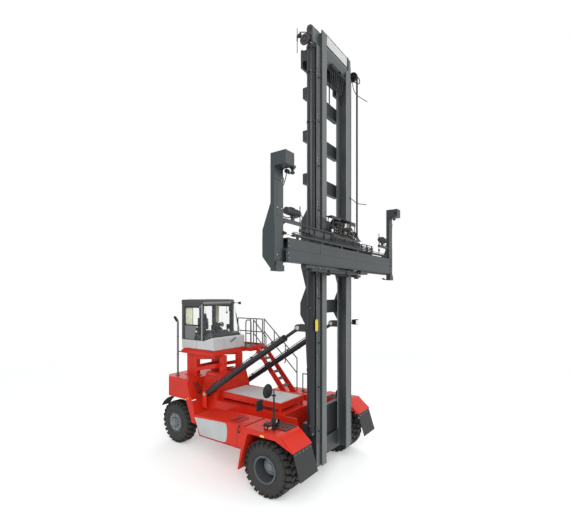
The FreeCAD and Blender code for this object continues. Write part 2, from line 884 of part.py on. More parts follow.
def handrails():
    r = railRadius
    x = landingOuter - railInset
    corner = landingFront + railInset
    rear = doorSwingClear
    foot = ladderFoot + railInset / 2
    top = railTop
    landing = rail(r, [(x, rear, platformTop), (x, rear, top), (x, corner, top), (x, corner, platformTop)])
    middle = rod(r, (x, corner + r, railMiddle), (x, rear - r, railMiddle))
    side = ladderInner - railInset
    down = corner - innerRailRun
    inner = rail(r, [(side, corner, platformTop), (side, corner, top), (side, down, top - innerRailRun),
                     (side, down, innerRailFoot), (ladderInner, down, innerRailFoot)])
    head = corner + r
    seatZ = platformTop - railInset
    stair = rail(r, [(railX, head, seatZ), (railX, head, top), (railX, foot, top - stairRailDrop),
                     (railX, foot, tankFootLevel(foot - r))])
    second = rail(r, [(railX, head - r, railMiddle), (railX, foot + r, stairRailMiddle)])
    seatTop = rod(r, (ladderOuter, head, seatZ), (railX, head, seatZ))
    loop = rail(r, [(railX, loopBack, tankFootLevel(loopBack - r)), (railX, loopBack, loopTop),
                    (railX, loopFront, loopTop), (railX, loopFront, tankFootLevel(loopFront - r))])
    return [landing, middle, inner, join([stair, second, seatTop]), loop]


# ---- cab --------------------------------------------------------------------

def cabBase():
    """Floor pan with its raised sides, open where the door swings."""
    x = cabHalfWidth
    p = cabPillar
    z0 = cabFloorBottom
    z1 = cabBandTop
    sill = z0 + cabFloor
    floor = box(-x, x, cabNose, cabRear, z0, sill)
    rear = box(-x, x, cabRear - p, cabRear, sill, z1)
    right = box(-x, -x + p, cabNose + p, cabRear - p, sill, z1)
    leftFront = box(x - p, x, cabNose + p, doorFront - doorGap, sill, z1)
    leftRear = box(x - p, x, doorRear + doorGap, cabRear - p, sill, z1)
    nose = prismX([(cabNose, sill), (cabNose + p, sill), (cabNose + p, cabNoseTop),
                   (cabNose + cabNoseEdge, cabNoseTop), (cabNose, cabNoseTop - cabNoseDrop)], -x, x)
    cowl = prismX([(cabNose + p, z1), (cowlRear, z1), (cabNose + p, cabNoseTop)], x - cowlPlate, x)
    return [floor, rear, right, leftFront, leftRear, nose] + pair(cowl)


def hingeLevels():
    return (cabBandTop + hingeRise, cabRoofTop - cabRoofDepth - hingeTopDrop)


def cabFrame():
    x = cabHalfWidth
    p = cabPillar
    z0 = cabBandTop
    z1 = cabRoofTop - cabRoofDepth
    front = doorFront - doorGap
    rear = doorRear + doorGap
    pieces = []
    for low in (x - p, -x):
        pieces.append(box(low, low + p, front - cabFrontPillar, front, z0, z1))
        pieces.append(box(low, low + p, rear, cabRear, z0, z1))
    pieces.append(box(-x + p, x - p, cabRear - p, cabRear, z0, z0 + cabSill))
    pieces.append(box(-x + p, x - p, cabRear - p, cabRear, z1 - cabHeader, z1))
    pieces.append(box(-x, -x + p, front, rear, z1 - cabHeader, z1))
    for z in hingeLevels():
        strap = box(x, x + hingePlate, hingeY + hingeRadius / 4, hingeY + hingeStrap, z, z + hingeLength)
        eye = rod(hingeBarrel, (hingeX, hingeY, z), (hingeX, hingeY, z + hingeLength))
        pin = rod(hingeRadius, (hingeX, hingeY, z), (hingeX, hingeY, z + 2 * hingeLength))
        pieces.append(join([strap, eye, pin]))
    return pieces


def cabRoof():
    x = cabHalfWidth
    z1 = cabRoofTop
    z0 = z1 - cabRoofDepth
    rear = cabRear + cabRoofEdge
    outline = [(cabRoofFront, z0), (rear, z0), (rear, z1 - cabRoofFall / 2), (rear - 2 * cabRoofEdge, z1),
               (cabRoofFront + cabRoofFall, z1), (cabRoofFront, z1 - cabRoofFall)]
    return prismX(outline, -x, x)


def cabGlass():
    x = cabHalfWidth
    p = cabPillar
    z0 = cabBandTop
    z1 = cabRoofTop - cabRoofDepth
    t = glassThickness
    front = doorFront - doorGap
    rear = doorRear + doorGap
    foot = cabNose + screenFoot
    head = cabRoofFront + screenHead
    edge = x - screenInset
    screen = prismX([(foot, z0), (foot + t, z0), (head + t, z1), (head, z1)], -edge, edge)
    right = box(-edge, -edge + t, front, rear, z0, z1 - cabHeader)
    back = box(-x + p, x - p, cabRear - glassInset, cabRear - glassInset + t, z0 + cabSill, z1 - cabHeader)
    behind = t + stepGap
    pillar = front - cabFrontPillar
    quarter = prismX([(foot + behind, z0), (pillar, z0), (pillar, z1), (head + behind, z1)],
                     x - glassInset, x - glassInset + t)
    return [screen, right, back, quarter, mirrored(quarter)]


def cabDoor():
    x = cabHalfWidth
    z0 = cabFloorBottom + cabFloor + doorGap
    z1 = cabRoofTop - cabRoofDepth - doorGap
    leaf = box(x - doorLeafDepth, x, doorFront, doorRear, z0, z1)
    y0 = doorFront + doorFrame
    y1 = doorRear - doorFrame
    low = z0 + doorLower
    high = z1 - doorHead
    leaf = leaf.cut(box(x - doorLeafDepth - stepGap, x + stepGap, y0, y1, low, high))
    for z in hingeLevels():
        foot = z + hingeLength + stepGap
        head = z + 2 * hingeLength
        strap = box(x, x + hingePlate, hingeY - hingeStrap, hingeY, foot, head)
        eye = rod(hingeBarrel, (hingeX, hingeY, foot), (hingeX, hingeY, head))
        r = hingeRadius + runningFit
        bore = rod(r, (hingeX, hingeY, foot - stepGap), (hingeX, hingeY, head + stepGap))
        leaf = join([leaf, strap, eye]).cut(bore)
    glass = box(x - glassInset, x - glassInset + glassThickness, y0, y1, low, high)
    return leaf, glass


def seat():
    z0 = cabFloorBottom + cabFloor
    z1 = z0 + seatBaseHeight
    z2 = z1 + cushionHeight
    cushionRear = seatRear - backDepth / 3
    baseRear = seatRear - backDepth
    base = box(-seatBaseHalf, seatBaseHalf, baseRear - seatBaseDepth, baseRear, z0, z1)
    cushion = box(-cushionHalf, cushionHalf, cushionRear - cushionDepth, cushionRear, z1, z2)
    back = box(-backHalf, backHalf, seatRear - backDepth, seatRear, z2, z2 + backHeight)
    return base, [cushion, back]


def console():
    z0 = cabFloorBottom + cabFloor
    top = z0 + columnHeight
    y = steeringY
    z = steeringZ
    lean = steeringLean
    half = columnHalf
    column = box(-half, half, columnRear - 2 * half, columnRear, z0, top)
    wheel = ring(steeringRadius, steeringRadius - steeringRing, (0, y, z), (0, y + lean, z + steeringRing))
    hub = rod(steeringHub, (0, columnRear - half, top - lean), (0, y + lean, z + steeringRing))
    spoke = box(-spokeHalf, spokeHalf, y - lean, y + lean, z, z + steeringRing - lean / 2)
    steering = join([wheel, hub, spoke])
    return [column.cut(steering), steering]


def exhaust():
    x = exhaustX
    y = exhaustY
    z = exhaustBend
    return rail(exhaustRadius, [(x, y, weightTop), (x, y, z), (x, y + exhaustTip, z + exhaustTip)])


def mirrors():
    """A round and a square mirror on arms from one post, on the right fender."""
    x = mirrorX
    y = mirrorPostY
    start = y + mirrorPostRadius
    r = mirrorArmRadius
    post = rod(mirrorPostRadius, (x, y, fenderTop), (x, y, mirrorPostTop))
    arm = rod(r, (x, start, roundArmZ), (x, roundMirrorY, roundArmZ))
    roundBack = roundMirrorY + roundMirrorDepth
    roundGlass = rod(roundMirrorRadius, (x, roundMirrorY, roundMirrorZ), (x, roundBack, roundMirrorZ))
    longArm = rod(r, (x, start, squareArmZ), (x, squareMirrorY, squareArmZ))
    half = squareMirrorHalf
    square = box(x - half, x + half, squareMirrorY, squareMirrorY + squareMirrorDepth,
                 squareMirrorLow, squareMirrorLow + squareMirrorHeight)
    return [post, arm, roundGlass, longArm, square]


def lamps():
    z = fenderTop
    inner = lampOuterX - lampWidth
    cluster = box(inner, lampOuterX, -lampHalf, lampHalf, z, z + lampWidth)
    stay = box(lampStayIn, inner, -lampStayHeight, lampStayHeight / 2, z, z + lampStayHeight)
    centre = z + headLampRise
    head = rod(headLampRadius, (headLampX, headLampFront, centre), (headLampX, headLampRear, centre))
    return [piece for part in (cluster, stay, head) for piece in pair(part)]


# ---- mast -------------------------------------------------------------------

def outerColumn():
    x1 = outerWebX + webPlate
    front = outerFrontFlange
    low = mastBottom
    top = outerMastTop
    web = box(outerWebX, x1, front + outerFlangePlate, mastRearFace - flangePlate, low, top)
    face = box(innerWebX + webPlate + mastGap, outerFlangeOutX, front, front + outerFlangePlate, low, top)
    rear = box(innerWebX, outerRearFlangeOutX, mastRearFace - flangePlate, mastRearFace, low, top)
    y = mastPivotY
    z = mastPivotZ
    footPlate = [(mastRearFace, low), (y, z - mastNose), (y + mastNose, z), (y, z + mastNose),
                 (mastRearFace, z + mastFootRise)]
    start = frameSideX + framePlate + mastFootGap
    foot = prismX(footPlate, start, start + mastFootPlate)
    foot = foot.cut(rod(mastPinRadius + runningFit, (0, y, z), (outerFlangeOutX, y, z)))
    front = liftY - liftShelfHalf
    back = liftY + liftShelfHalf
    under = liftBottom - liftShelf
    shelf = box(x1, liftX + liftRadius, front, back, under, liftBottom)
    gusset = prismX([(front, under), (back, under), (back - liftShelf / 2, liftGussetBottom),
                     (front, liftGussetBottom)], x1, x1 + liftShelf)
    return [web, face, rear, foot, shelf, gusset]


def crossbarLevels():
    """Low and top edge of a tall one at the foot, an even row above the tilt lugs and one at the head."""
    pitch = (highCrossbar - lowCrossbar) / (evenCrossbars - 1)
    lows = [lowCrossbar + i * pitch for i in range(evenCrossbars)] + [headCrossbar]
    return [(footCrossbar, footCrossbar + footCrossbarHeight)] + [(z, z + crossbarHeight) for z in lows]


def crossbars():
    """Box beams across the back of the outer mast, with lower ends and a deeper block at the head.

    Those between the bracket plates are shorter.
    """
    bars = []
    rear = mastRearFace + crossbarDepth
    for z, top in crossbarLevels():
        if tiltBracketLow < top and z < tiltBracketHigh:
            reach = tiltX - tiltBracketHalf
            bars.append(box(-reach, reach, mastRearFace, rear, z, top))
        else:
            inset = (top - z - crossbarEndHeight) / 2
            bars.append(box(-crossbarEndX, crossbarEndX, mastRearFace, rear, z, top))
            bars += pair(box(crossbarEndX, crossbarReach, mastRearFace, rear, z + inset, top - inset))
    top = outerMastTop - headBlockDrop
    bars += pair(box(crossbarEndX, crossbarReach, rear, headBlockRear, headBlockBottom, top))
    return bars


def mastLamp():
    """A work lamp on a short arm at the left side of the outer mast."""
    z = mastLampLevel
    y = outerFrontFlange
    inner = mastLampOuterX - mastLampWidth
    armLow = z + mastLampArm
    arm = box(outerFlangeOutX, inner, y, y + outerFlangePlate, armLow, armLow + mastLampArm)
    lamp = box(inner, mastLampOuterX, y - mastLampHalf, y + mastLampHalf, z, z + mastLampHeight)
    return [arm, lamp]


def bracketPlates():
    """Two plates behind each outer column, meeting at a narrow waist."""
    y = mastRearFace
    waist = y + bracketWaist
    top = y + bracketTopDepth
    low = y + bracketLowDepth
    joint = bracketJoint
    upper = [(y, tiltBracketHigh), (top, tiltBracketHigh - bracketTopSlope), (top, joint + bracketTopRise),
             (waist, joint), (y, joint)]
    lower = [(y, joint), (waist, joint), (low, joint - bracketLowDrop), (low, joint - bracketLowEnd),
             (y + bracketToeHigh, joint - bracketToe), (y + bracketToeLow, tiltBracketLow),
             (y, tiltBracketLow)]
    start = tiltX - tiltBracketHalf
    end = tiltX + tiltBracketHalf
    return pair(prismX(upper, start, end)) + pair(prismX(lower, start, end))


def lugPlaces():
    inner = tiltX - tiltEyeHalf - tiltLugGap - tiltLug
    outer = tiltX + tiltEyeHalf + tiltLugGap
    return (inner, outer)


def tiltPin(y, z):
    inner, outer = lugPlaces()
    return rod(tiltPinRadius, (inner, y, z), (outer + tiltLug, y, z))


def tiltLugs():
    y = tiltEyeY
    z = tiltEyeZ
    pieces = []
    back = mastRearFace + lugPlateDepth
    for x in lugPlaces():
        lug = rod(tiltEyeRadius, (x, y, z), (x + tiltLug, y, z))
        web = box(x, x + tiltLug, back, y, z - tiltEyeRadius, z + tiltEyeRadius)
        pieces += [lug, web]
    start, end = lugPlaces()
    high = lugPlateHalf
    plate = box(start - lugPlateInset, end + tiltLug, mastRearFace, back, z - high, z + high)
    high += stepGap
    x0 = tiltX - tiltBracketHalf
    x1 = tiltX + tiltBracketHalf
    plate = plate.cut(box(x0, x1, mastRearFace - stepGap, back + stepGap, z - high, z + high))
    return pair(join(pieces + [plate, tiltPin(y, z)]))


def liftBarrel():
    tube = rod(liftRadius, (liftX, liftY, liftBottom), (liftX, liftY, liftTop))
    boreStart = liftBottom + liftRodStart - stepGap
    bore = rod(liftRodRadius + runningFit, (liftX, liftY, boreStart), (liftX, liftY, liftTop + stepGap))
    z = liftCollarLevel
    half = liftCollarHalf
    bracket = box(outerWebX + webPlate, liftX, liftY - half, liftY + half, z, z + liftCollarHeight)
    return join([tube, bracket]).cut(bore)


def liftRod():
    return rod(liftRodRadius, (liftX, liftY, liftBottom + liftRodStart), (liftX, liftY, liftEarLow))


def innerColumn():
    """An I section with one wide pocket facing the carriage rollers."""
    low = mastBottom
    top = innerMastTop
    back = innerRearFlange + flangePlate
    web = box(innerWebX, innerWebX + webPlate, innerFlangeFront + flangePlate, innerRearFlange, low, top)
    front = box(innerFlangeInX, innerFlangeOutX, innerFlangeFront, innerFlangeFront + flangePlate, low, top)
    rear = box(innerFlangeInX, innerFlangeOutX, innerRearFlange, back, low, top)
    pad = box(innerWebX + webPlate + mastGap, innerFlangeOutX, innerFlangeFront + flangePlate,
              outerFrontFlange - padPlay, low + slidePadRise, low + slidePadRise + slidePad)
    return [web, front, rear, pad]


def innerCrossbeams():
    x = innerFlangeInX
    y0 = innerFlangeFront
    t = flangePlate
    y1 = y0 + topBeamRun
    face = box(-x, x, y0, y0 + t, topBeamMiddle, innerMastTop - topBeamDrop)
    slope = prismX([(y0, topBeamMiddle), (y0 + t, topBeamMiddle), (y1 + t, topBeamLow),
                    (y1, topBeamLow)], -x, x)
    low = box(-x, x, innerRearFlange, innerRearFlange + t, mastBottom, mastBottom + lowBeamHeight)
    top = liftEarHigh
    front = liftY - liftEarDepth
    back = liftY + liftEarDepth
    cut = liftEarCorner
    ear = [(front, liftEarLow), (back, liftEarLow), (back, top - cut), (back - cut / 2, top),
           (front + cut, top), (front, top - cut)]
    lug = prismX(ear, liftX - liftEarHalf, liftX + liftEarHalf)
    x1 = liftX - liftEarHalf
    arm = box(innerWebX + webPlate, x1, front, liftY + cut, liftEarLow, innerMastTop - topBeamDrop)
    return [face, slope, low] + pair(lug) + pair(arm)


def hoseSheaves():
    """A hose wheel on each side of the inner mast's head, on a bracket behind the near rod's ear."""
    pieces = []
    half = sheaveArmHalf
    for side, y, z in ((-1, rightSheaveY, rightSheaveZ), (1, leftSheaveY, leftSheaveZ)):
        inner = liftX + liftRadius + sheaveGap
        x0 = side * inner
        x1 = side * (inner + sheaveWidth)
        pieces.append(rod(sheaveRadius, (x0, y, z), (x1, y, z)))
        a, b = sorted((side * (liftX + liftEarHalf), x0))
        pieces.append(box(a, b, min(y, liftY) - half, max(y, liftY) + half, z - half, z + half))
    return pieces


# ---- tilt cylinders ---------------------------------------------------------

def tiltLine():
    base = vec(tiltX, tiltBaseY, tiltBaseZ)
    line = vec(tiltX, tiltEyeY, tiltEyeZ) - base
    length = line.Length
    return base, line.normalize(), length


def tiltBarrel():
    base, along, length = tiltLine()
    end = length - tiltRodShown
    tube = Part.makeCylinder(tiltBarrelRadius, end - tiltNeck, base + along * tiltNeck, along)
    neck = Part.makeCylinder(tiltNeckRadius, tiltNeck + stepGap, base, along)
    y = tiltBaseY
    z = tiltBaseZ
    inner = tiltX - tiltEyeHalf
    outer = tiltX + tiltEyeHalf
    eye = rod(tiltEyeRadius, (inner, y, z), (outer, y, z))
    bore = Part.makeCylinder(tiltRodRadius + runningFit, end, base + along * tiltBoreStart, along)
    hole = rod(tiltPinRadius + runningFit, (inner - stepGap, y, z), (outer + stepGap, y, z))
    return join([tube, neck, eye]).cut(bore).cut(hole)


def tiltRod():
    base, along, length = tiltLine()
    barLength = length - tiltRodStart - tiltRodShort
    bar = Part.makeCylinder(tiltRodRadius, barLength, base + along * tiltRodStart, along)
    y = tiltEyeY
    z = tiltEyeZ
    inner = tiltX - tiltEyeHalf
    outer = tiltX + tiltEyeHalf
    eye = rod(tiltEyeRadius, (inner, y, z), (outer, y, z))
    hole = rod(tiltPinRadius + tiltEyeSlack, (inner - stepGap, y, z), (outer + stepGap, y, z))
    return join([bar, eye]).cut(hole)


def tiltBases():
    y = tiltBaseY
    r = tiltEyeRadius
    low = frameTop - tiltFootDrop
    pieces = [tiltPin(y, tiltBaseZ)]
    for x in lugPlaces():
        lug = rod(r, (x, y, tiltBaseZ), (x + tiltLug, y, tiltBaseZ))
        foot = box(x, x + tiltLug, y - r, y + r, low, tiltBaseZ)
        pieces += [lug, foot]
    end = lugPlaces()[1] + tiltLug
    pieces.append(box(frameSideX + framePlate, end, y - r, y + r, low - tiltFootPlate, low))
    return pair(join(pieces))


# ---- carriage and spreader --------------------------------------------------

def carriage():
    x0 = carriagePlateX
    x1 = carriagePlateX + carriagePlate
    y0 = innerFlangeFront + flangePlate
    middle = y0 + pocketDepth / 2
    plate = box(x0, x1, guideRear, y0 + pocketDepth - mastGap, carriageBottom, carriageTop)
    r = pocketDepth / 2 - rollerPlay
    rollers = [rod(r, (x1, middle, z), (innerWebX - stepGap, middle, z)) for z in rollerLevels]
    sides = [piece for part in [plate] + rollers for piece in pair(part)]
    x = guideHalf
    high = beamTop + guideUpperGap
    low = beamBottom - guideLowerGap
    upper = box(-x, x, beamRear, guideRear, high, high + guideUpperHeight)
    lower = box(-x, x, beamRear, guideRear, low - guideLowerHeight, low)
    back = box(-x0, x0, guideRear + carriagePlate / 2, guideRear + 3 * carriagePlate / 2, low, high)
    posts = pair(box(x0 - guidePostWidth, x0, beamRear, guideRear, low, high))
    return sides + [upper, lower, back] + posts


def spreaderBeam():
    """A box beam of four plates, open at both ends for the sliding arms."""
    x = beamHalfLength
    t = beamPlate
    front = box(-x, x, beamFront, beamFront + t, beamBottom, beamTop)
    rear = box(-x, x, beamRear - t, beamRear, beamBottom, beamTop)
    top = box(-x, x, beamFront + t, beamRear - t, beamTop - t, beamTop)
    low = box(-x, x, beamFront + t, beamRear - t, beamBottom, beamBottom + t)
    return [front, rear, top, low]


def spreaderArm(side):
    """The left arm slides in the beam's upper lane, the right arm in its lower one."""
    middle = (beamBottom + beamTop) / 2
    low = beamBottom + beamPlate
    high = middle
    if side > 0:
        low = middle
        high = beamTop - beamPlate
    y0 = beamFront + beamPlate + armPlay
    y1 = beamRear - beamPlate - armPlay
    bar = box(-armTail, postInX, y0, y1, low + armPlay, high - armPlay)
    gap = armPlay - armPadPlay
    foot = box(-armTail, -armTail + armPadLength, y0, y1, low + armPadPlay, low + armPadPlay + gap)
    head = box(-armTail, -armTail + armPadLength, y0, y1, high - armPadPlay - gap, high - armPadPlay)
    arm = join([bar, foot, head])
    return arm if side > 0 else mirrored(arm)


def endPost():
    post = box(postInX, postOutX, postFront, postRear, postBottom, postTop)
    cheek = prismX([(cheekRear, cheekBackHigh), (postRear, cheekFrontHigh), (postRear, cheekFrontLow),
                    (cheekRear, cheekBackLow)], postOutX - cheekPlate, postOutX)
    collarLow = postTop - collarDrop
    t = collarPlate
    collar = box(postInX - t, postOutX, postFront - t, postFront, collarLow, collarLow + collarHeight)
    head = box(postInX, postOutX, headFront, postRear, postTop, headTop)
    foot = box(postInX + footInset, postOutX - footInset, postFront - footDepth, postFront,
               postBottom, postBottom + footHeight)
    half = lockPlateHalf
    plate = box(lockX - half, postInX, lockY - half, lockY + half, postTop, postTop + lockPlate)
    pin = rod(lockRadius, (lockX, lockY, postTop - lockLength), (lockX, lockY, postTop))
    y0 = postFront + postArmSet
    lampEnd = postInX - postLampInset
    lampY = (y0 + postRear) / 2
    armTop = postArmLow + postArmHeight
    lamp = rod(postLampRadius, (lampEnd - postLampLength, lampY, postLampZ), (lampEnd, lampY, postLampZ))
    arm = box(postInX - postArmReach, postInX, y0, postRear, postArmLow, armTop)
    stayX = postInX - postStayX
    stay = box(stayX - postStayWidth, stayX, y0, postRear, armTop, postLampZ)
    return [post, cheek, collar, head, foot, plate, pin, join([lamp, stay]), arm]


os.makedirs("parts", exist_ok=True)

driveTyres, driveRims = driveWheel()
save("drive_tyres_left", driveTyres)
save("drive_tyres_right", [mirrored(t) for t in driveTyres])
save("drive_rims_left", driveRims)
save("drive_rims_right", mirrored(driveRims))
steerTyre, steerRim = steerWheel()
save("steer_tyre_left", steerTyre)
save("steer_tyre_right", mirrored(steerTyre))
save("steer_rim_left", steerRim)
save("steer_rim_right", mirrored(steerRim))
save("knuckle_left", knuckle())
save("knuckle_right", mirrored(knuckle()))

save("main_frame", mainFrame())
save("drive_axle", driveAxle())
save("steer_axle", steerAxle())
save("fenders", [piece for plate in fender() for piece in pair(plate)])
save("mudflaps", pair(mudflap()))
save("side_tanks", pair(sideTank()))
save("walkways", pair(walkway()))
save("deck_frame", deckFrame() + deckFeet())
save("deck_panel", deckPanel())
save("engine_block", engineBlock())
save("counterweight", counterweight())
save("rear_hood", rearHood())
save("rear_mudguards", pair(rearMudguard()))
save("arch_panels", [piece for panel in archPanel() for piece in pair(panel)])

save("cab_stand", cabStand())
save("cab_platform", cabPlatform())
save("ladder", ladder())
save("handrails", handrails())
save("cab_base", cabBase())
save("cab_frame", cabFrame())
save("cab_roof", cabRoof())
save("cab_glass", cabGlass())
doorLeaf, doorGlass = cabDoor()
save("cab_door", doorLeaf)
save("cab_door_glass", doorGlass)
seatBase, seatCushion = seat()
save("seat_base", seatBase)
save("seat_cushion", seatCushion)
save("console", console())
save("exhaust", exhaust())
save("mirrors", mirrors())
save("front_lamps", lamps())

save("outer_mast", [piece for plate in outerColumn() for piece in pair(plate)])
save("mast_crossbars", crossbars())
save("mast_lamp", mastLamp())
save("mast_brackets", bracketPlates() + tiltLugs())
save("lift_barrels", pair(liftBarrel()))
save("lift_rods", pair(liftRod()))
save("inner_mast", [piece for plate in innerColumn() for piece in pair(plate)])
save("inner_crossbeams", innerCrossbeams())
save("hose_sheaves", hoseSheaves())
save("tilt_barrel_left", tiltBarrel())
save("tilt_barrel_right", mirrored(tiltBarrel()))
save("tilt_rod_left", tiltRod())
save("tilt_rod_right", mirrored(tiltRod()))
save("tilt_bases", tiltBases() + mastPins())

save("carriage", carriage())
save("spreader_beam", spreaderBeam())
save("spreader_arm_left", spreaderArm(1))
save("spreader_arm_right", spreaderArm(-1))
save("end_post_left", endPost())
save("end_post_right", [mirrored(piece) for piece in endPost()])
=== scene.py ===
import bpy
import json
import math
from mathutils import Matrix, Vector

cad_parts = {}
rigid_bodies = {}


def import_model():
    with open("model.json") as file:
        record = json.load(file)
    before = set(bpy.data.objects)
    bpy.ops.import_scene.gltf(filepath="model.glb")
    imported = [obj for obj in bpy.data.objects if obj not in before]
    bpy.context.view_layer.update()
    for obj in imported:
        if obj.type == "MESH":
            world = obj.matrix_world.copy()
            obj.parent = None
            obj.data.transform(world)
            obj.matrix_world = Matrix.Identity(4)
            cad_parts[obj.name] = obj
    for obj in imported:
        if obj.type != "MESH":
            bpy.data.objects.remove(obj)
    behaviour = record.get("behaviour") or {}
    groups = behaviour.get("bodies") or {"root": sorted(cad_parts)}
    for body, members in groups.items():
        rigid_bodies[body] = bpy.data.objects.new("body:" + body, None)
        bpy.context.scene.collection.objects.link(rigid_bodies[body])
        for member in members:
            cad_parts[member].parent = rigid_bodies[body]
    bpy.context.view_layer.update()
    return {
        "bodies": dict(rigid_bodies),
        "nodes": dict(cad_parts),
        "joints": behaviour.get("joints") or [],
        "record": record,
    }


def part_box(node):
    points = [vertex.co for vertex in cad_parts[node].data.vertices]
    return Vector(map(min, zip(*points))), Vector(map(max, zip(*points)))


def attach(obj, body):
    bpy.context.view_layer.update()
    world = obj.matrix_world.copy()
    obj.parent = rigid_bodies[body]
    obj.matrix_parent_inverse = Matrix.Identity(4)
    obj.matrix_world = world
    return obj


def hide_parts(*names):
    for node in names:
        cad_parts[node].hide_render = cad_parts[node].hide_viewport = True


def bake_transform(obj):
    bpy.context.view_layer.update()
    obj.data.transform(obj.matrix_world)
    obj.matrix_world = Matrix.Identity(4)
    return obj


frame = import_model()
nodes = frame["nodes"]
print("frame loaded:", len(nodes), "nodes")


def only(*pieces):
    bpy.ops.object.select_all(action="DESELECT")
    for piece in pieces:
        piece.select_set(True)
    bpy.context.view_layer.objects.active = pieces[0]
    return pieces[0]


def settle(piece):
    only(piece)
    bpy.ops.object.transform_apply(location=True, rotation=True, scale=True)
    return piece


def applyAll(piece):
    only(piece)
    for modifier in list(piece.modifiers):
        bpy.ops.object.modifier_apply(modifier=modifier.name)
    return piece


def roundEdges(piece, width, segments=2, angle=35):
    if width > 0:
        bevel = piece.modifiers.new("edge", "BEVEL")
        bevel.width = width
        bevel.segments = segments
        bevel.limit_method = "ANGLE"
        bevel.angle_limit = math.radians(angle)
        applyAll(piece)
    return piece


def smooth(piece, angle=35):
    only(piece)
    bpy.ops.object.shade_smooth_by_angle(angle=math.radians(angle))
    return piece


def tidyShell(piece):
    only(piece)
    bpy.ops.object.mode_set(mode="EDIT")
    bpy.ops.mesh.select_all(action="SELECT")
    bpy.ops.mesh.remove_doubles(threshold=0.00005)
    bpy.ops.mesh.normals_make_consistent(inside=False)
    bpy.ops.object.mode_set(mode="OBJECT")
    return piece


def block(low, high, edge=0.004, segments=2):
    low, high = Vector(low), Vector(high)
    bpy.ops.object.select_all(action="DESELECT")
    bpy.ops.mesh.primitive_cube_add(size=1, location=(low + high) / 2)
    piece = bpy.context.object
    piece.scale = high - low
    settle(piece)
    return roundEdges(piece, min(edge, 0.3 * min(high - low)), segments)


def slab(x0, x1, y0, y1, z0, z1, edge=0.003):
    # a block from sizes in any order
    return block((min(x0, x1), min(y0, y1), min(z0, z1)), (max(x0, x1), max(y0, y1), max(z0, z1)), edge)


def slabs(*rows):
    # one block for each row of sizes
    return [slab(*row) for row in rows]


def turned(piece, angle, axis, centre):
    # turns a settled piece about a line through centre
    centre = Vector(centre)
    turn = Matrix.Translation(centre) @ Matrix.Rotation(angle, 4, axis) @ Matrix.Translation(-centre)
    piece.data.transform(turn)
    return piece


def post(start, end, radius, sides=24, edge=0.0, top=None):
    start, end = Vector(start), Vector(end)
    run = end - start
    bpy.ops.object.select_all(action="DESELECT")
    if top is None:
        bpy.ops.mesh.primitive_cylinder_add(vertices=sides, radius=radius, depth=run.length,
                location=(start + end) / 2)
    else:
        bpy.ops.mesh.primitive_cone_add(vertices=sides, radius1=radius, radius2=top, depth=run.length,
                                        location=(start + end) / 2)
    piece = bpy.context.object
    piece.rotation_euler = run.to_track_quat("Z", "Y").to_euler()
    settle(piece)
    roundEdges(piece, edge)
    return smooth(piece)


def ringOf(centre, axis, radius, thick, around=40, across=10):
    bpy.ops.object.select_all(action="DESELECT")
    bpy.ops.mesh.primitive_torus_add(major_radius=radius, minor_radius=thick, major_segments=around,
                                     minor_segments=across, location=centre)
    piece = bpy.context.object
    piece.rotation_euler = Vector(axis).to_track_quat("Z", "Y").to_euler()
    settle(piece)
    return smooth(piece, 60)


def ballAt(centre, radius, squash=(1, 1, 1)):
    bpy.ops.object.select_all(action="DESELECT")
    bpy.ops.mesh.primitive_uv_sphere_add(segments=24, ring_count=14, radius=radius, location=centre)
    piece = bpy.context.object
    piece.scale = squash
    settle(piece)
    return smooth(piece, 60)


def flatShape(points, axis, start, end, edge=0.004):
    # a plate whose outline lies across the axis, pushed along it from start to end
    place = {
        "X": lambda a, b: (start, a, b),
        "Y": lambda a, b: (a, start, b),
        "Z": lambda a, b: (a, b, start),
    }[axis]
    push = {"X": (end - start, 0, 0), "Y": (0, end - start, 0), "Z": (0, 0, end - start)}[axis]
    mesh = bpy.data.meshes.new("plate")
    mesh.from_pydata([place(a, b) for a, b in points], [], [list(range(len(points)))])
    piece = bpy.data.objects.new("plate", mesh)
    bpy.context.scene.collection.objects.link(piece)
    only(piece)
    bpy.ops.object.mode_set(mode="EDIT")
    bpy.ops.mesh.select_all(action="SELECT")
    bpy.ops.mesh.extrude_region_move(TRANSFORM_OT_translate={"value": push})
    bpy.ops.object.mode_set(mode="OBJECT")
    tidyShell(piece)
    return roundEdges(piece, edge)


def lathe(profile, centre, steps=64, flip=1):
    # profile is (offset along X, radius), spun about an axle along X
    centre = Vector(centre)
    mesh = bpy.data.meshes.new("turned")
    points = [centre + Vector((flip * x, 0, r)) for x, r in profile]
    mesh.from_pydata(points, [(i, i + 1) for i in range(len(points) - 1)], [])
    piece = bpy.data.objects.new("turned", mesh)
    bpy.context.scene.collection.objects.link(piece)
    only(piece)
    bpy.ops.object.mode_set(mode="EDIT")
    bpy.ops.mesh.select_all(action="SELECT")
    bpy.ops.mesh.spin(steps=steps, angle=2 * math.pi, center=centre, axis=(1, 0, 0))
    bpy.ops.object.mode_set(mode="OBJECT")
    tidyShell(piece)
    return smooth(piece, 40)


def aimed(profile, place, angle, axis, steps):
    # a turned piece whose axle is swung away from X, by degrees
    piece = lathe(profile, (0, 0, 0), steps)
    piece.data.transform(Matrix.Translation(place) @ Matrix.Rotation(math.radians(angle), 4, axis))
    return piece


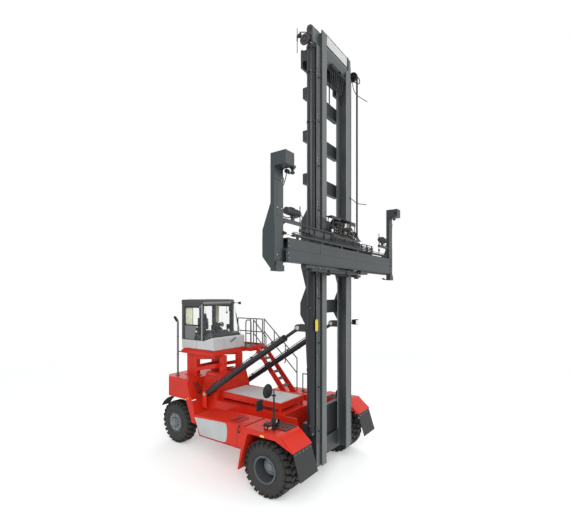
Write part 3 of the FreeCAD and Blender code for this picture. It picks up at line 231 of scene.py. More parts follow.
def pipe(points, radius, bend=0.08, sides=3, closed=False):
    # a bent tube: straight runs joined by round corners
    points = [Vector(p) for p in points]
    path = [] if closed else [points[0]]
    if closed:
        points = [points[-1]] + points + [points[0]]
    for before, corner, after in zip(points, points[1:], points[2:]):
        reach = min(bend, (corner - before).length * 0.45, (after - corner).length * 0.45)
        a = corner + (before - corner).normalized() * reach
        b = corner + (after - corner).normalized() * reach
        for step in range(6):
            t = step / 5
            path.append(a * (1 - t) ** 2 + corner * 2 * t * (1 - t) + b * t * t)
    if not closed:
        path.append(points[-1])
    curve = bpy.data.curves.new("pipe", "CURVE")
    curve.dimensions = "3D"
    curve.bevel_depth = radius
    curve.bevel_resolution = sides
    curve.use_fill_caps = True
    spline = curve.splines.new("POLY")
    spline.points.add(len(path) - 1)
    spline.use_cyclic_u = closed
    for spot, place in zip(spline.points, path):
        spot.co = (*place, 1)
    piece = bpy.data.objects.new("pipe", curve)
    bpy.context.scene.collection.objects.link(piece)
    only(piece)
    bpy.ops.object.convert(target="MESH")
    piece = bpy.context.object
    return smooth(piece, 50)


def hose(points, radius, sides=3):
    # a soft hose: one smooth curve through its points
    curve = bpy.data.curves.new("hose", "CURVE")
    curve.dimensions = "3D"
    curve.bevel_depth = radius
    curve.bevel_resolution = sides
    curve.resolution_u = 8
    curve.use_fill_caps = True
    spline = curve.splines.new("NURBS")
    spline.points.add(len(points) - 1)
    for spot, place in zip(spline.points, points):
        spot.co = (*place, 1)
    spline.order_u = 3
    spline.use_endpoint_u = True
    piece = bpy.data.objects.new("hose", curve)
    bpy.context.scene.collection.objects.link(piece)
    only(piece)
    bpy.ops.object.convert(target="MESH")
    return smooth(bpy.context.object, 50)


def copyOf(piece, matrix=None):
    twin = piece.copy()
    twin.data = piece.data.copy()
    bpy.context.scene.collection.objects.link(twin)
    if matrix is not None:
        twin.data.transform(matrix)
        if matrix.determinant() < 0:
            twin.data.flip_normals()
    return twin


def mirrored(piece):
    return copyOf(piece, Matrix.Scale(-1, 4, (1, 0, 0)))


def bothSides(pieces):
    return pieces + [mirrored(piece) for piece in pieces]


def around(piece, count, centre, axis="X"):
    # the piece and its copies, evenly set round a line through the centre
    centre = Vector(centre)
    made = [piece]
    for i in range(1, count):
        turn = Matrix.Rotation(2 * math.pi * i / count, 4, axis)
        made.append(copyOf(piece, Matrix.Translation(centre) @ turn @ Matrix.Translation(-centre)))
    return made


def boltHead(place, axis, size=0.016, tall=0.012):
    place, axis = Vector(place), Vector(axis).normalized()
    return post(place - axis * 0.002, place + axis * tall, size, sides=6, edge=0.0015)


def bolts(places, axis, size=0.016, tall=0.012):
    first = boltHead(places[0], axis, size, tall)
    made = [first]
    made += [copyOf(first, Matrix.Translation(Vector(place) - Vector(places[0]))) for place in places[1:]]
    return made


def painted(name, pieces, paint):
    # joins the parts of one piece, names it and paints it
    only(*pieces)
    if len(pieces) > 1:
        bpy.ops.object.join()
    piece = bpy.context.object
    piece.name = name
    piece.data.name = name
    settle(piece)
    piece.data.materials.clear()
    piece.data.materials.append(paint)
    return piece


class Signal:
    # one output socket that can be used in plain sums
    def __init__(self, paint, socket):
        self.paint = paint
        self.socket = socket

    def sum(self, operation, other, turned=False):
        pair = [other, self] if turned else [self, other]
        return self.paint.node("ShaderNodeMath", {"operation": operation}, {0: pair[0], 1: pair[1]})

    def __add__(self, other):
        return self.sum("ADD", other)

    def __radd__(self, other):
        return self.sum("ADD", other, True)

    def __sub__(self, other):
        return self.sum("SUBTRACT", other)

    def __rsub__(self, other):
        return self.sum("SUBTRACT", other, True)

    def __mul__(self, other):
        return self.sum("MULTIPLY", other)

    def __rmul__(self, other):
        return self.sum("MULTIPLY", other, True)

    def __truediv__(self, other):
        return self.sum("DIVIDE", other)

    def __pow__(self, other):
        return self.sum("POWER", other)


class Paint:
    # one material and its node tree
    def __init__(self, name):
        self.material = bpy.data.materials.new(name)
        self.material.use_nodes = True
        self.tree = self.material.node_tree
        self.tree.nodes.clear()
        self.output = self.tree.nodes.new("ShaderNodeOutputMaterial")
        self.place = self.node("ShaderNodeTexCoord", output="Object")

    def node(self, kind, settings=None, values=None, output=0):
        made = self.tree.nodes.new(kind)
        for key, value in (settings or {}).items():
            if key == "stops":
                ramp = made.color_ramp
                while len(ramp.elements) < len(value):
                    ramp.elements.new(0.5)
                for element, (spot, colour) in zip(ramp.elements, value):
                    element.position = spot
                    element.color = (*colour, 1) if isinstance(colour, tuple) else (colour,) * 3 + (1,)
            else:
                setattr(made, key, value)
        for key, value in (values or {}).items():
            socket = made.inputs[key]
            if isinstance(value, Signal):
                self.tree.links.new(value.socket, socket)
            elif isinstance(value, tuple) and len(value) == 3 and socket.type == "RGBA":
                socket.default_value = (*value, 1)
            else:
                socket.default_value = value
        return Signal(self, made.outputs[output])

    def noise(self, scale, detail=3.0, rough=0.55, stretch=None):
        place = self.place
        if stretch:
            place = self.node("ShaderNodeMapping", None, {"Vector": self.place, "Scale": stretch})
        values = {"Vector": place, "Scale": scale, "Detail": detail, "Roughness": rough}
        return self.node("ShaderNodeTexNoise", None, values)

    def ramp(self, value, low, high):
        return self.node("ShaderNodeMapRange", {"clamp": True},
                         {"Value": value, "From Min": low, "From Max": high, "To Min": 0.0, "To Max": 1.0})

    def mix(self, amount, first, second):
        return self.node("ShaderNodeMix", {"data_type": "RGBA"}, {0: amount, 6: first, 7: second}, output=2)

    def height(self):
        apart = self.node("ShaderNodeSeparateXYZ", None, {0: self.place})
        return Signal(self, apart.socket.node.outputs[2])

    def axes(self):
        apart = self.node("ShaderNodeSeparateXYZ", None, {0: self.place})
        return [Signal(self, apart.socket.node.outputs[i]) for i in range(3)]

    def facing(self):
        # 1 on faces that look forward
        normal = self.node("ShaderNodeTexCoord", output="Normal")
        apart = self.node("ShaderNodeSeparateXYZ", None, {0: normal})
        return Signal(self, apart.socket.node.outputs[1]) * -1.0

    def bump(self, value, strength, distance=0.01):
        return self.node("ShaderNodeBump", None,
                         {"Height": value, "Strength": strength, "Distance": distance})

    def finish(self, values):
        shader = self.node("ShaderNodeBsdfPrincipled", None, values)
        self.tree.links.new(shader.socket, self.output.inputs[0])
        return self.material


def scaled(colour, amount):
    return tuple(min(1.0, c * amount) for c in colour)


def inside(paint, limits):
    # 1 where each named coordinate lies between its two limits
    x, y, z = paint.axes()
    places = {"x": x, "y": y, "z": z, "side": x.sum("ABSOLUTE", 0.0)}
    share = 1.0
    for axis, low, high in limits:
        enter = paint.ramp(places[axis], low, low + 0.001)
        leave = paint.ramp(places[axis], high - 0.001, high)
        share = enter * (1 - leave) * share
    return share


def coated(name, colour, rough=0.35, coat=0.0, metal=0.0, dust=0.25, dustTop=1.5, grain=0.03, wear=0.15,
           front=None, zones=(), shine=0.4):
    # sprayed paint: faint mottling, orange peel, road dust low down and rubbed spots; front paints forward
    # faces in a lighter colour as painted light, and zones repaint boxes of the surface in other colours
    paint = Paint(name)
    mottle = paint.noise(1.7, 4)
    fine = paint.noise(140, 2)
    streak = paint.noise(5, 5, 0.6, (1.0, 1.0, 0.25))
    base = paint.mix(paint.ramp(mottle, 0.3, 0.7), scaled(colour, 0.9), scaled(colour, 1.06))
    # painted light: faces that look forward take the lighter front colour
    if front:
        base = paint.mix(paint.ramp(paint.facing(), 0.6, 0.9), base, front)
    for limits, other in zones:
        base = paint.mix(inside(paint, limits), base, other)
    low = 1 - paint.ramp(paint.height(), 0.2, dustTop)
    dusty = low * paint.ramp(streak, 0.35, 0.75) * dust
    base = paint.mix(dusty, base, (0.30, 0.27, 0.23))
    spots = paint.ramp(paint.noise(28, 5, 0.7), 0.66, 0.72) * wear
    base = paint.mix(spots, base, scaled(colour, 0.45))
    roughness = rough + dusty * 0.5 + (paint.ramp(streak, 0.2, 0.8) - 0.5) * 0.08 + spots * 0.4
    return paint.finish({"Base Color": base, "Roughness": roughness, "Metallic": metal,
                         "Coat Weight": coat, "Coat Roughness": 0.08, "Specular IOR Level": shine,
                         "Normal": paint.bump(fine, grain, 0.002)})


axles = {
    "frontY": -1.88,
    "wheelbase": 4.55,
    "height": 0.69,
    "grooveShadeLow": (0.590, 0.605),     # radii between which the painted shade of the groove floors fades in and out again
    "grooveHigh": (0.652, 0.668),    # and out again
}


def rubber(name, colour, dust=0.5, dustTop=1.4, grooveShade=False):
    paint = Paint(name)
    fine = paint.noise(90, 4, 0.65)
    patch = paint.noise(3.5, 5, 0.6)
    low = 1 - paint.ramp(paint.height(), 0.1, dustTop)
    dusty = paint.ramp(patch, 0.3, 0.8) * low * dust
    base = paint.mix(paint.ramp(fine, 0.3, 0.7), scaled(colour, 0.8), scaled(colour, 1.15))
    base = paint.mix(dusty, base, (0.16, 0.145, 0.125))
    if grooveShade:
        # painted shade darkens the floors between the lugs, measured from whichever axle is nearer
        y, z = paint.axes()[1:]
        y = y - (paint.ramp(y, 0.30, 0.31) * axles["wheelbase"] + axles["frontY"])
        z = z - axles["height"]
        reach = (y * y + z * z) ** 0.5
        floor = paint.ramp(reach, *axles["grooveShadeLow"]) * (1 - paint.ramp(reach, *axles["grooveHigh"]))
        base = paint.mix(floor * 0.85, base, (0.006, 0.006, 0.006))
    return paint.finish({"Base Color": base, "Roughness": 0.72 + paint.ramp(fine, 0.2, 0.8) * 0.15,
                         "Normal": paint.bump(fine, 0.25, 0.002)})


def bareMetal(name, colour, rough=0.25, brushed=(1.0, 1.0, 0.05)):
    paint = Paint(name)
    lines = paint.noise(60, 3, 0.6, brushed)
    return paint.finish({"Base Color": paint.mix(lines, scaled(colour, 0.85), colour), "Metallic": 1.0,
                         "Roughness": rough + (lines - 0.5) * 0.12,
                         "Normal": paint.bump(lines, 0.05, 0.001)})


def plastic(name, colour, rough=0.5, grain=0.12):
    paint = Paint(name)
    fine = paint.noise(260, 2)
    patch = paint.noise(6, 3)
    base = paint.mix(paint.ramp(patch, 0.3, 0.7), scaled(colour, 0.88), scaled(colour, 1.1))
    return paint.finish({"Base Color": base, "Roughness": rough + (paint.ramp(fine, 0.2, 0.8) - 0.5) * 0.1,
                         "Specular IOR Level": 0.32, "Normal": paint.bump(fine, grain, 0.001)})


def glassPane(name, tint, cover):
    paint = Paint(name)
    smudge = paint.noise(4, 5, 0.6)
    return paint.finish({"Base Color": tint, "Roughness": 0.03 + paint.ramp(smudge, 0.5, 0.8) * 0.06,
                         "Alpha": cover + paint.ramp(smudge, 0.55, 0.8) * 0.02, "IOR": 1.45})


def lens(name, colour, paintedGlow):
    # the lenses glow by emission though no lamp shines behind them: a painted glow
    paint = Paint(name)
    ribs = paint.node("ShaderNodeTexWave", {"bands_direction": "Z"}, {"Vector": paint.place, "Scale": 30.0})
    return paint.finish({"Base Color": paint.mix(ribs, scaled(colour, 0.8), colour), "Roughness": 0.12,
                         "Emission Color": colour, "Emission Strength": paintedGlow, "Coat Weight": 0.6,
                         "Normal": paint.bump(ribs, 0.15, 0.002)})


def antiSlip(name, colour):
    # deck coating with grit and scuffs
    paint = Paint(name)
    grit = paint.noise(220, 3, 0.7)
    scuff = paint.noise(2.6, 6, 0.65)
    streak = paint.noise(9, 5, 0.65, (1.0, 0.2, 1.0))
    base = paint.mix(paint.ramp(scuff, 0.35, 0.7) * 0.5, colour, scaled(colour, 0.72))
    base = paint.mix(paint.ramp(streak, 0.6, 0.75) * 0.45, base, (0.42, 0.40, 0.38))
    return paint.finish({"Base Color": base, "Roughness": 0.62 + paint.ramp(grit, 0.3, 0.7) * 0.2,
                         "Normal": paint.bump(grit, 0.35, 0.003)})


def grating(name, colour, pitch):
    # pressed tread metal, with rows of raised studs
    paint = Paint(name)
    spots = paint.node("ShaderNodeTexVoronoi", {"feature": "F1"},
                       {"Vector": paint.place, "Scale": 1.0 / pitch, "Randomness": 0.0})
    studs = 1 - paint.ramp(spots, 0.18, 0.38)
    worn = paint.noise(7, 5, 0.6)
    base = paint.mix(studs * paint.ramp(worn, 0.3, 0.7), colour, scaled(colour, 1.8))
    return paint.finish({"Base Color": base, "Roughness": 0.55 - studs * 0.15, "Metallic": 0.5,
                         "Normal": paint.bump(studs, 0.6, 0.004)})


def weave(name, colour):
    paint = Paint(name)
    across = paint.node("ShaderNodeTexWave", {"bands_direction": "X"},
                        {"Vector": paint.place, "Scale": 180.0})
    along = paint.node("ShaderNodeTexWave", {"bands_direction": "DIAGONAL"},
                       {"Vector": paint.place, "Scale": 160.0})
    cloth = across * 0.5 + along * 0.5
    return paint.finish({"Base Color": paint.mix(cloth, scaled(colour, 0.6), scaled(colour, 1.4)),
                         "Roughness": 0.9, "Sheen Weight": 0.25, "Normal": paint.bump(cloth, 0.4, 0.001)})


colours = {
    "red": (0.66, 0.026, 0.010),
    "white": (0.60, 0.60, 0.60),
    "mast": (0.025, 0.030, 0.034),
    "spreader": (0.029, 0.038, 0.041),
    "rim": (0.185, 0.215, 0.235),
    "cab": (0.052, 0.057, 0.057),
    "rail": (0.13, 0.135, 0.14),
    "tyre": (0.030, 0.031, 0.030),
    "black": (0.012, 0.012, 0.013),
}

redPaint = coated("red_paint", colours["red"], rough=0.36, coat=0.08, shine=0.22, dust=0.04, dustTop=1.2,
                  wear=0.04)
whitePaint = coated("white_paint", colours["white"], rough=0.4, coat=0.15, dust=0.05, dustTop=1.0, wear=0.03)
mastPaint = coated("mast_paint", colours["mast"], rough=0.42, dust=0.03, wear=0.1)
barrelPaint = coated("barrel_paint", (0.010, 0.013, 0.017), rough=0.36, dust=0.03, wear=0.05)
# outer mast: its forward faces are painted lighter, as painted light
outerPaint = coated("outer_mast_paint", colours["mast"], rough=0.42, dust=0.03, wear=0.1,
                    front=(0.108, 0.115, 0.118))
# inner mast: forward faces painted lighter as painted light, a thin painted highlight band along the flange
# edges, and painted shade on the inner parts below 1.3 m
flangePaint = coated("inner_mast_paint", (0.050, 0.056, 0.060), rough=0.4, metal=0.15, dust=0.03, wear=0.2,
        front=(0.118, 0.130, 0.133), zones=[([("side", 0.575, 0.586)], (0.24, 0.25, 0.25)),
        ([("side", -1.0, 0.579), ("z", 0.0, 1.3)], (0.040, 0.044, 0.046))])
spreaderPaint = coated("spreader_paint", colours["spreader"], rough=0.45, dust=0.0, wear=0.08)
postPaint = coated("post_paint", colours["spreader"], rough=0.45, dust=0.0, wear=0.08,
                   zones=[([("side", 2.0, 2.972), ("z", 6.55, 7.0)], (0.020, 0.024, 0.026))])
framePaint = coated("frame_paint", scaled(colours["red"], 0.97), rough=0.36, coat=0.08, shine=0.22,
                    dust=0.05, dustTop=1.2, wear=0.05)
ladderPaint = coated("ladder_paint", colours["red"], rough=0.4, dust=0.0, wear=0.05,
                     zones=[([("x", 1.102, 1.518)], (0.20, 0.20, 0.20))])
rimPaint = coated("rim_paint", colours["rim"], rough=0.4, metal=0.2, dust=0.10, dustTop=1.4)
# darker copy of the rim colour for the deep drive rims: painted shade in their wells, with real dust low
# down
shadedRimPaint = coated("rim_well_painted_shade", (0.080, 0.094, 0.104), rough=0.42, metal=0.2, dust=0.10, dustTop=1.4)
axlePaint = coated("axle_paint", (0.024, 0.027, 0.030), rough=0.55, dust=0.15, dustTop=1.4)
cabPaint = coated("cab_grey", colours["cab"], rough=0.5, dust=0.0, wear=0.04)
railPaint = coated("rail_grey", colours["rail"], rough=0.4, metal=0.3, dust=0.0, wear=0.1)
sillRed = coated("dark_red_paint", (0.33, 0.016, 0.010), rough=0.45, dust=0.1)
tyreRubber = rubber("tyre_rubber", colours["tyre"], dust=0.14, grooveShade=True)
flapRubber = rubber("flap_rubber", (0.031, 0.032, 0.033), dust=0.08)
sealRubber = rubber("seal_rubber", (0.015, 0.015, 0.016), dust=0.0)
hoseRubber = rubber("hose_rubber", (0.020, 0.020, 0.022), dust=0.0)
blackPlastic = plastic("black_plastic", colours["black"])
darkPlastic = plastic("dark_grey_plastic", (0.05, 0.055, 0.057), 0.55)
chrome = bareMetal("rod_chrome", (0.72, 0.72, 0.73), 0.16)
steel = bareMetal("bare_steel", (0.20, 0.20, 0.20), 0.42)
pipeGrey = coated("pipe_grey", (0.10, 0.105, 0.11), rough=0.4, dust=0.0, wear=0.1)
edgeGrey = coated("glass_edge", (0.30, 0.32, 0.32), rough=0.3, dust=0.0, wear=0.0)
zinc = bareMetal("zinc_plate", (0.52, 0.50, 0.45), 0.42)
castMetal = coated("cast_metal", (0.06, 0.06, 0.06), rough=0.7, metal=0.3, dust=0.2, grain=0.4)
exhaustMetal = bareMetal("exhaust_metal", (0.17, 0.17, 0.17), 0.45)
clearGlass = glassPane("clear_glass", (0.55, 0.62, 0.62), 0.035)
# the lens glows set here are painted light
lampGlass = lens("clear_lens", (0.75, 0.78, 0.80), 0.1)
amberLens = lens("amber_lens", (0.95, 0.42, 0.03), 0.35)
redLens = lens("red_lens", (0.75, 0.03, 0.03), 0.3)
mirrorGlass = bareMetal("mirror_glass", (0.32, 0.34, 0.36), 0.06)
deckCoat = antiSlip("deck_coating", (0.60, 0.61, 0.61))
panelGrey = coated("panel_grey", (0.50, 0.52, 0.52), rough=0.45, dust=0.1, dustTop=1.5)
treadMetal = grating("tread_metal", (0.065, 0.045, 0.040), 0.035)
stepMetal = grating("step_metal", (0.22, 0.23, 0.23), 0.03)
yellowPlate = coated("yellow_plate", (0.72, 0.55, 0.03), rough=0.45, dust=0.0)
blindCream = plastic("blind_cream", (0.80, 0.78, 0.56), 0.6)
seatCloth = weave("seat_cloth", (0.035, 0.036, 0.04))
brassMetal = bareMetal("brass", (0.42, 0.32, 0.17), 0.45)
panelDark = coated("cab_panel_grey", (0.19, 0.20, 0.20), rough=0.5, dust=0.0, wear=0.04)
stripGrey = coated("strip_grey", (0.30, 0.31, 0.31), rough=0.45, dust=0.0, wear=0.03)

nodePaints = {
    redPaint: ["fenders", "side_tanks", "walkways", "deck_frame", "counterweight", "rear_hood",
               "arch_panels", "cab_stand", "cab_platform", "tilt_bases"],
    framePaint: ["main_frame"],
    ladderPaint: ["ladder"],
    deckCoat: ["deck_panel"],
    whitePaint: ["cab_base"],
    mastPaint: ["mast_crossbars", "mast_brackets"],
    outerPaint: ["outer_mast"],
    barrelPaint: ["tilt_barrel_left", "tilt_barrel_right", "lift_barrels", "hose_sheaves", "tilt_rod_left",
                  "tilt_rod_right"],
    flangePaint: ["inner_mast", "inner_crossbeams"],
    spreaderPaint: ["carriage", "spreader_beam", "spreader_arm_left", "spreader_arm_right"],
    postPaint: ["end_post_left", "end_post_right"],
    chrome: ["lift_rods"],
    rimPaint: ["steer_rim_left", "steer_rim_right"],
    shadedRimPaint: ["drive_rims_left", "drive_rims_right"],
    axlePaint: ["drive_axle", "steer_axle", "knuckle_left", "knuckle_right"],
    cabPaint: ["cab_frame", "cab_roof", "cab_door"],
    clearGlass: ["cab_glass", "cab_door_glass"],
    darkPlastic: ["seat_base", "console"],
    seatCloth: ["seat_cushion"],
    flapRubber: ["mudflaps", "rear_mudguards"],
    tyreRubber: ["drive_tyres_left", "drive_tyres_right", "steer_tyre_left", "steer_tyre_right"],
    castMetal: ["engine_block"],
    exhaustMetal: ["exhaust"],
    railPaint: ["handrails"],
    blackPlastic: ["mirrors", "front_lamps", "mast_lamp"],
}
for paint, names in nodePaints.items():
    for name in names:
        nodes[name].data.materials.clear()
        nodes[name].data.materials.append(paint)
print("CAD nodes painted")


def add(name, pieces, paint, body="chassis"):
    # one finished piece, seated on its body
    piece = painted(name, pieces, paint)
    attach(piece, body)
    return piece


tyre = {
    "lugs": 25,             # per side
    "lugLength": 0.104,
    "slant": 17,            # degrees
    "crown": 0.640,         # radius of the groove floor
    "halfWidth": 0.1875,
}

wheel = {
    "outerX": 1.88,         # middles of the twin drive tyres
    "innerX": 1.44,
    "driveDisc": 1.709,     # outer faces of the rim discs
    "lockX": 2.063,
    "steerX": 0.93,
    "steerDisc": 1.117,
}


def axleOf(node):
    # radius, y and z of a wheel's node
    low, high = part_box(node)
    return (high[2] - low[2]) / 2, (low[1] + high[1]) / 2, (low[2] + high[2]) / 2


def makeTyre(centre, radius):
    # carcass with side ribs, and two rows of slanted lugs that wrap over the shoulders
    w, r = tyre["halfWidth"], radius
    half = [(0.152, 0.306), (0.165, 0.345), (0.170, 0.352), (w - 0.006, 0.42), (w - 0.002, 0.425),
            (w - 0.002, 0.437), (w - 0.005, 0.442), (w - 0.001, 0.49), (w - 0.008, 0.535),
            (w - 0.030, 0.572), (0.138, 0.615), (0.112, tyre["crown"]), (0.0, tyre["crown"] + 0.002)]
    profile = half + [(-x, y) for x, y in reversed(half[:-1])]
    profile.append(profile[0])
    carcass = lathe(profile, centre, 72)
    made = [carcass]
    for side in (1, -1):
        outline = [(0.014, r - 0.045), (0.014, r - 0.0012), (0.118, r - 0.0012), (0.160, r - 0.014),
                   (w, r - 0.075), (w, r - 0.135), (w - 0.014, r - 0.15), (0.12, r - 0.06)]
        length = tyre["lugLength"]
        lug = flatShape([(side * x, z) for x, z in outline], "Y", -length / 2, length / 2, 0.006)
        turned(lug, math.radians(side * tyre["slant"]), "Z", (side * 0.1, 0, 0))
        lug.data.transform(Matrix.Translation(centre))
        shift = 0 if side > 0 else math.pi / tyre["lugs"]
        turned(lug, shift, "X", centre)
        made += around(lug, tyre["lugs"], centre)
    only(*made)
    bpy.ops.object.join()
    piece = bpy.context.object
    return smooth(piece, 40)


def makeDriveWheel(side, word):
    radius, y, z = axleOf("drive_tyres_" + word)
    body = "drive_wheel_" + word
    pair = [makeTyre((side * x, y, z), radius) for x in (wheel["outerX"], wheel["innerX"])]
    piece = add("drive_tyre_treads_" + word, pair, tyreRubber, body)
    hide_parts("drive_tyres_" + word)

    disc = side * wheel["driveDisc"]
    centre = (disc, y, z)
    cover = [(0.0, 0.212), (0.012, 0.218), (0.095, 0.214), (0.112, 0.204), (0.115, 0.150), (0.135, 0.146),
             (0.150, 0.135), (0.153, 0.105), (0.172, 0.098), (0.178, 0.086), (0.180, 0.0)]
    hub = lathe(cover, centre, 64, side)
    nuts = around(boltHead((disc, y, z + 0.238), (side, 0, 0), 0.016, 0.03), 20, centre)
    nuts += around(boltHead((side * 1.823, y, z + 0.178), (side, 0, 0), 0.014, 0.018), 16, centre)
    nuts += around(boltHead((side * 1.861, y, z + 0.120), (side, 0, 0), 0.010, 0.012), 12, centre)
    # a dark ring at the disc's step: painted shade
    step = lathe([(0.0, 0.290), (0.012, 0.288), (0.014, 0.272), (0.006, 0.262), (0.0, 0.260)], centre, 64,
                 side)
    add("drive_hub_" + word, [hub], rimPaint, body)
    add("drive_disc_step_" + word, [step], axlePaint, body)
    add("drive_nuts_" + word, nuts, zinc, body)
    lock = lathe([(-0.03, 0.306), (-0.004, 0.318), (0.001, 0.330), (-0.008, 0.3345), (-0.02, 0.334)],
                 (side * wheel["lockX"], y, z), 72, side)
    valve = post((side * 2.03, y + 0.05, z + 0.285), (side * 2.066, y + 0.055, z + 0.262), 0.006, 12)
    add("drive_lock_ring_" + word, [lock, valve], rimPaint, body)


def makeSteerWheel(side, word):
    # all six tyres are one size
    radius = axleOf("drive_tyres_" + word)[0]
    y, z = axleOf("steer_tyre_" + word)[1:]
    body = "steer_wheel_" + word
    piece = add("steer_tyre_tread_" + word, [makeTyre((side * wheel["steerX"], y, z), radius)], tyreRubber,
                body)
    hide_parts("steer_tyre_" + word)
    disc = side * wheel["steerDisc"]
    centre = (disc, y, z)
    cap = [(0.0, 0.15), (0.01, 0.15), (0.043, 0.132), (0.047, 0.10), (0.07, 0.094), (0.076, 0.085),
           (0.078, 0.0)]
    hub = lathe(cap, centre, 56, side)
    nuts = around(boltHead((disc, y, z + 0.195), (side, 0, 0), 0.017, 0.026), 12, centre)
    nuts += around(boltHead((side * 1.16, y, z + 0.115), (side, 0, 0), 0.009, 0.01), 8, centre)
    holes = around(lathe([(0.0, 0.030), (0.008, 0.026), (0.008, 0.020), (0.0, 0.018)],
                         (disc, y, z + 0.248), 20, side), 8, centre)
    add("steer_hub_" + word, [hub] + holes, rimPaint, body)
    # dark rings on the disc: painted shade in the groove at the rim's edge and under the hub's lip
    groove = lathe([(0.0, 0.326), (0.004, 0.324), (0.004, 0.282), (0.0, 0.280)], centre, 64, side)
    lipShadeRing = lathe([(0.0, 0.176), (0.008, 0.174), (0.008, 0.160), (0.0, 0.158)], centre, 64, side)
    add("steer_disc_rings_" + word, [groove, lipShadeRing], axlePaint, body)
    add("steer_nuts_" + word, nuts, zinc, body)


for side, word in ((1, "left"), (-1, "right")):
    makeDriveWheel(side, word)
    makeSteerWheel(side, word)
print("wheels made")


lower = {
    "grateBars": 8,
    "panelThickness": 0.006,
}


def makeFenders():
    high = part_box("fenders")[1]
    top = high[2]
    grates, trims = [], []
    x0, x1, y0, y1 = 1.35, 1.81, -2.33, -1.62      # clear of the lamps beside it
    grates.append(block((x0, y0, top), (x1, y0 + 0.025, top + 0.022), 0.003))
    grates.append(block((x0, y1 - 0.025, top), (x1, y1, top + 0.022), 0.003))
    grates += [block((x, y0 + 0.025, top), (x + 0.025, y1 - 0.025, top + 0.022), 0.003)
               for x in (x0, (x0 + x1) / 2 - 0.012, x1 - 0.025)]
    step = (y1 - y0 - 0.05) / lower["grateBars"]
    bar = block((x0 + 0.02, y0 + 0.03, top), (x1 - 0.02, y0 + 0.03 + step * 0.45, top + 0.018), 0.002)
    grates += [bar] + [copyOf(bar, Matrix.Translation((0, step * i, 0)))
                       for i in range(1, lower["grateBars"])]
    trims.append(flatShape([(-2.43, top - 0.01), (-2.36, top - 0.001), (-1.33, top - 0.001),
                            (-1.33, top - 0.045), (-2.35, top - 0.045), (-2.44, top - 0.05)], "X", high[0],
                           high[0] + 0.012, 0.003))
    slope = [(-2.775, 1.325), (-2.44, top - 0.052), (-2.42, top - 0.09), (-2.75, 1.31)]
    trims.append(flatShape(slope, "X", high[0], high[0] + 0.012, 0.003))
    trims += bolts([(high[0] + 0.012, y, top - 0.024) for y in (-2.2, -1.9, -1.6)], (1, 0, 0), 0.009, 0.006)
    markers = [block((high[0], -1.93, 1.505), (high[0] + 0.014, -1.81, 1.555))]
    add("fender_grates", bothSides(grates), treadMetal)
    add("fender_trims", bothSides(trims), redPaint)
    add("fender_markers", bothSides(markers), amberLens)

    strips, heads = [], []
    for side in (1, -1):
        strips.append(flatShape([(-2.767, 1.300), (-2.760, 1.305), (-2.790, 1.238), (-2.797, 1.238)], "X",
                                side * 1.36, side * 2.11, 0.002))
        heads += bolts([(side * (1.42 + 0.16 * i), -2.785, 1.268) for i in range(5)], (0, -1, -0.4), 0.012,
                       0.009)
    add("flap_clamps", strips, axlePaint)
    add("flap_bolts", heads, zinc)


def makeTanks():
    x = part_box("side_tanks")[1][0]
    face = [(0.585, 1.512), (-0.56, 1.585), (-0.63, 1.57), (-0.66, 1.50), (-0.67, 1.40), (-0.66, 1.22),
            (-0.63, 1.11), (-0.56, 1.075), (0.30, 1.065), (0.36, 1.09)]
    panel = flatShape(face, "X", -x - lower["panelThickness"], -x, 0.002)
    add("tank_panels", bothSides([panel]), panelGrey)
    seams = []
    for y in (-1.02, 0.42):
        seams.append(block((x, y, 1.10), (x + 0.005, y + 0.012, 1.52), 0.001))
    seams.append(block((x, -1.15, 1.045), (x + 0.006, 0.35, 1.063), 0.002))
    handle = pipe([(x + 0.002, -1.10, 1.45), (x + 0.05, -1.10, 1.45), (x + 0.05, -1.10, 1.60),
                   (x + 0.002, -1.10, 1.60)], 0.010, 0.03)
    feet = [post((x, -1.10, z), (x + 0.006, -1.10, z), 0.022, 16, 0.002) for z in (1.45, 1.60)]
    cap = aimed([(0.0, 0.065), (0.02, 0.065), (0.026, 0.058), (0.030, 0.0)], (1.72, -0.55, 1.621), -90,
                "Y", 40)
    neck = post((1.72, -0.55, 1.60), (1.72, -0.55, 1.622), 0.075, 32, 0.003)
    grip = block((1.665, -0.558, 1.645), (1.775, -0.542, 1.668))
    treads = [block((1.55, y, 1.628), (1.95, y + 0.13, 1.648), 0.003) for y in (-0.95, -0.76)]
    add("tank_seams", bothSides(seams), sillRed)
    add("tank_handles", bothSides([handle] + feet), blackPlastic)
    add("tank_filler", [cap, neck, grip], blackPlastic)
    add("tank_treads", bothSides(treads), sillRed)


makeFenders()
makeTanks()
print("fenders and tanks detailed")


rear = {
    "louvres": 7,
    "treads": 6,
    "meshBars": 14,
    "railRadius": 0.023,
}


stair = {
    "foot": -0.38,           # y and z of the stringers' foot, and how far they run and rise
    "base": 1.6165,
    "run": 1.40,
    "rise": 1.485,
    "landing": 3.06,         # heights of the landing, the knee rail and the top rail
    "knee": 3.56,
    "top": 4.03,
}


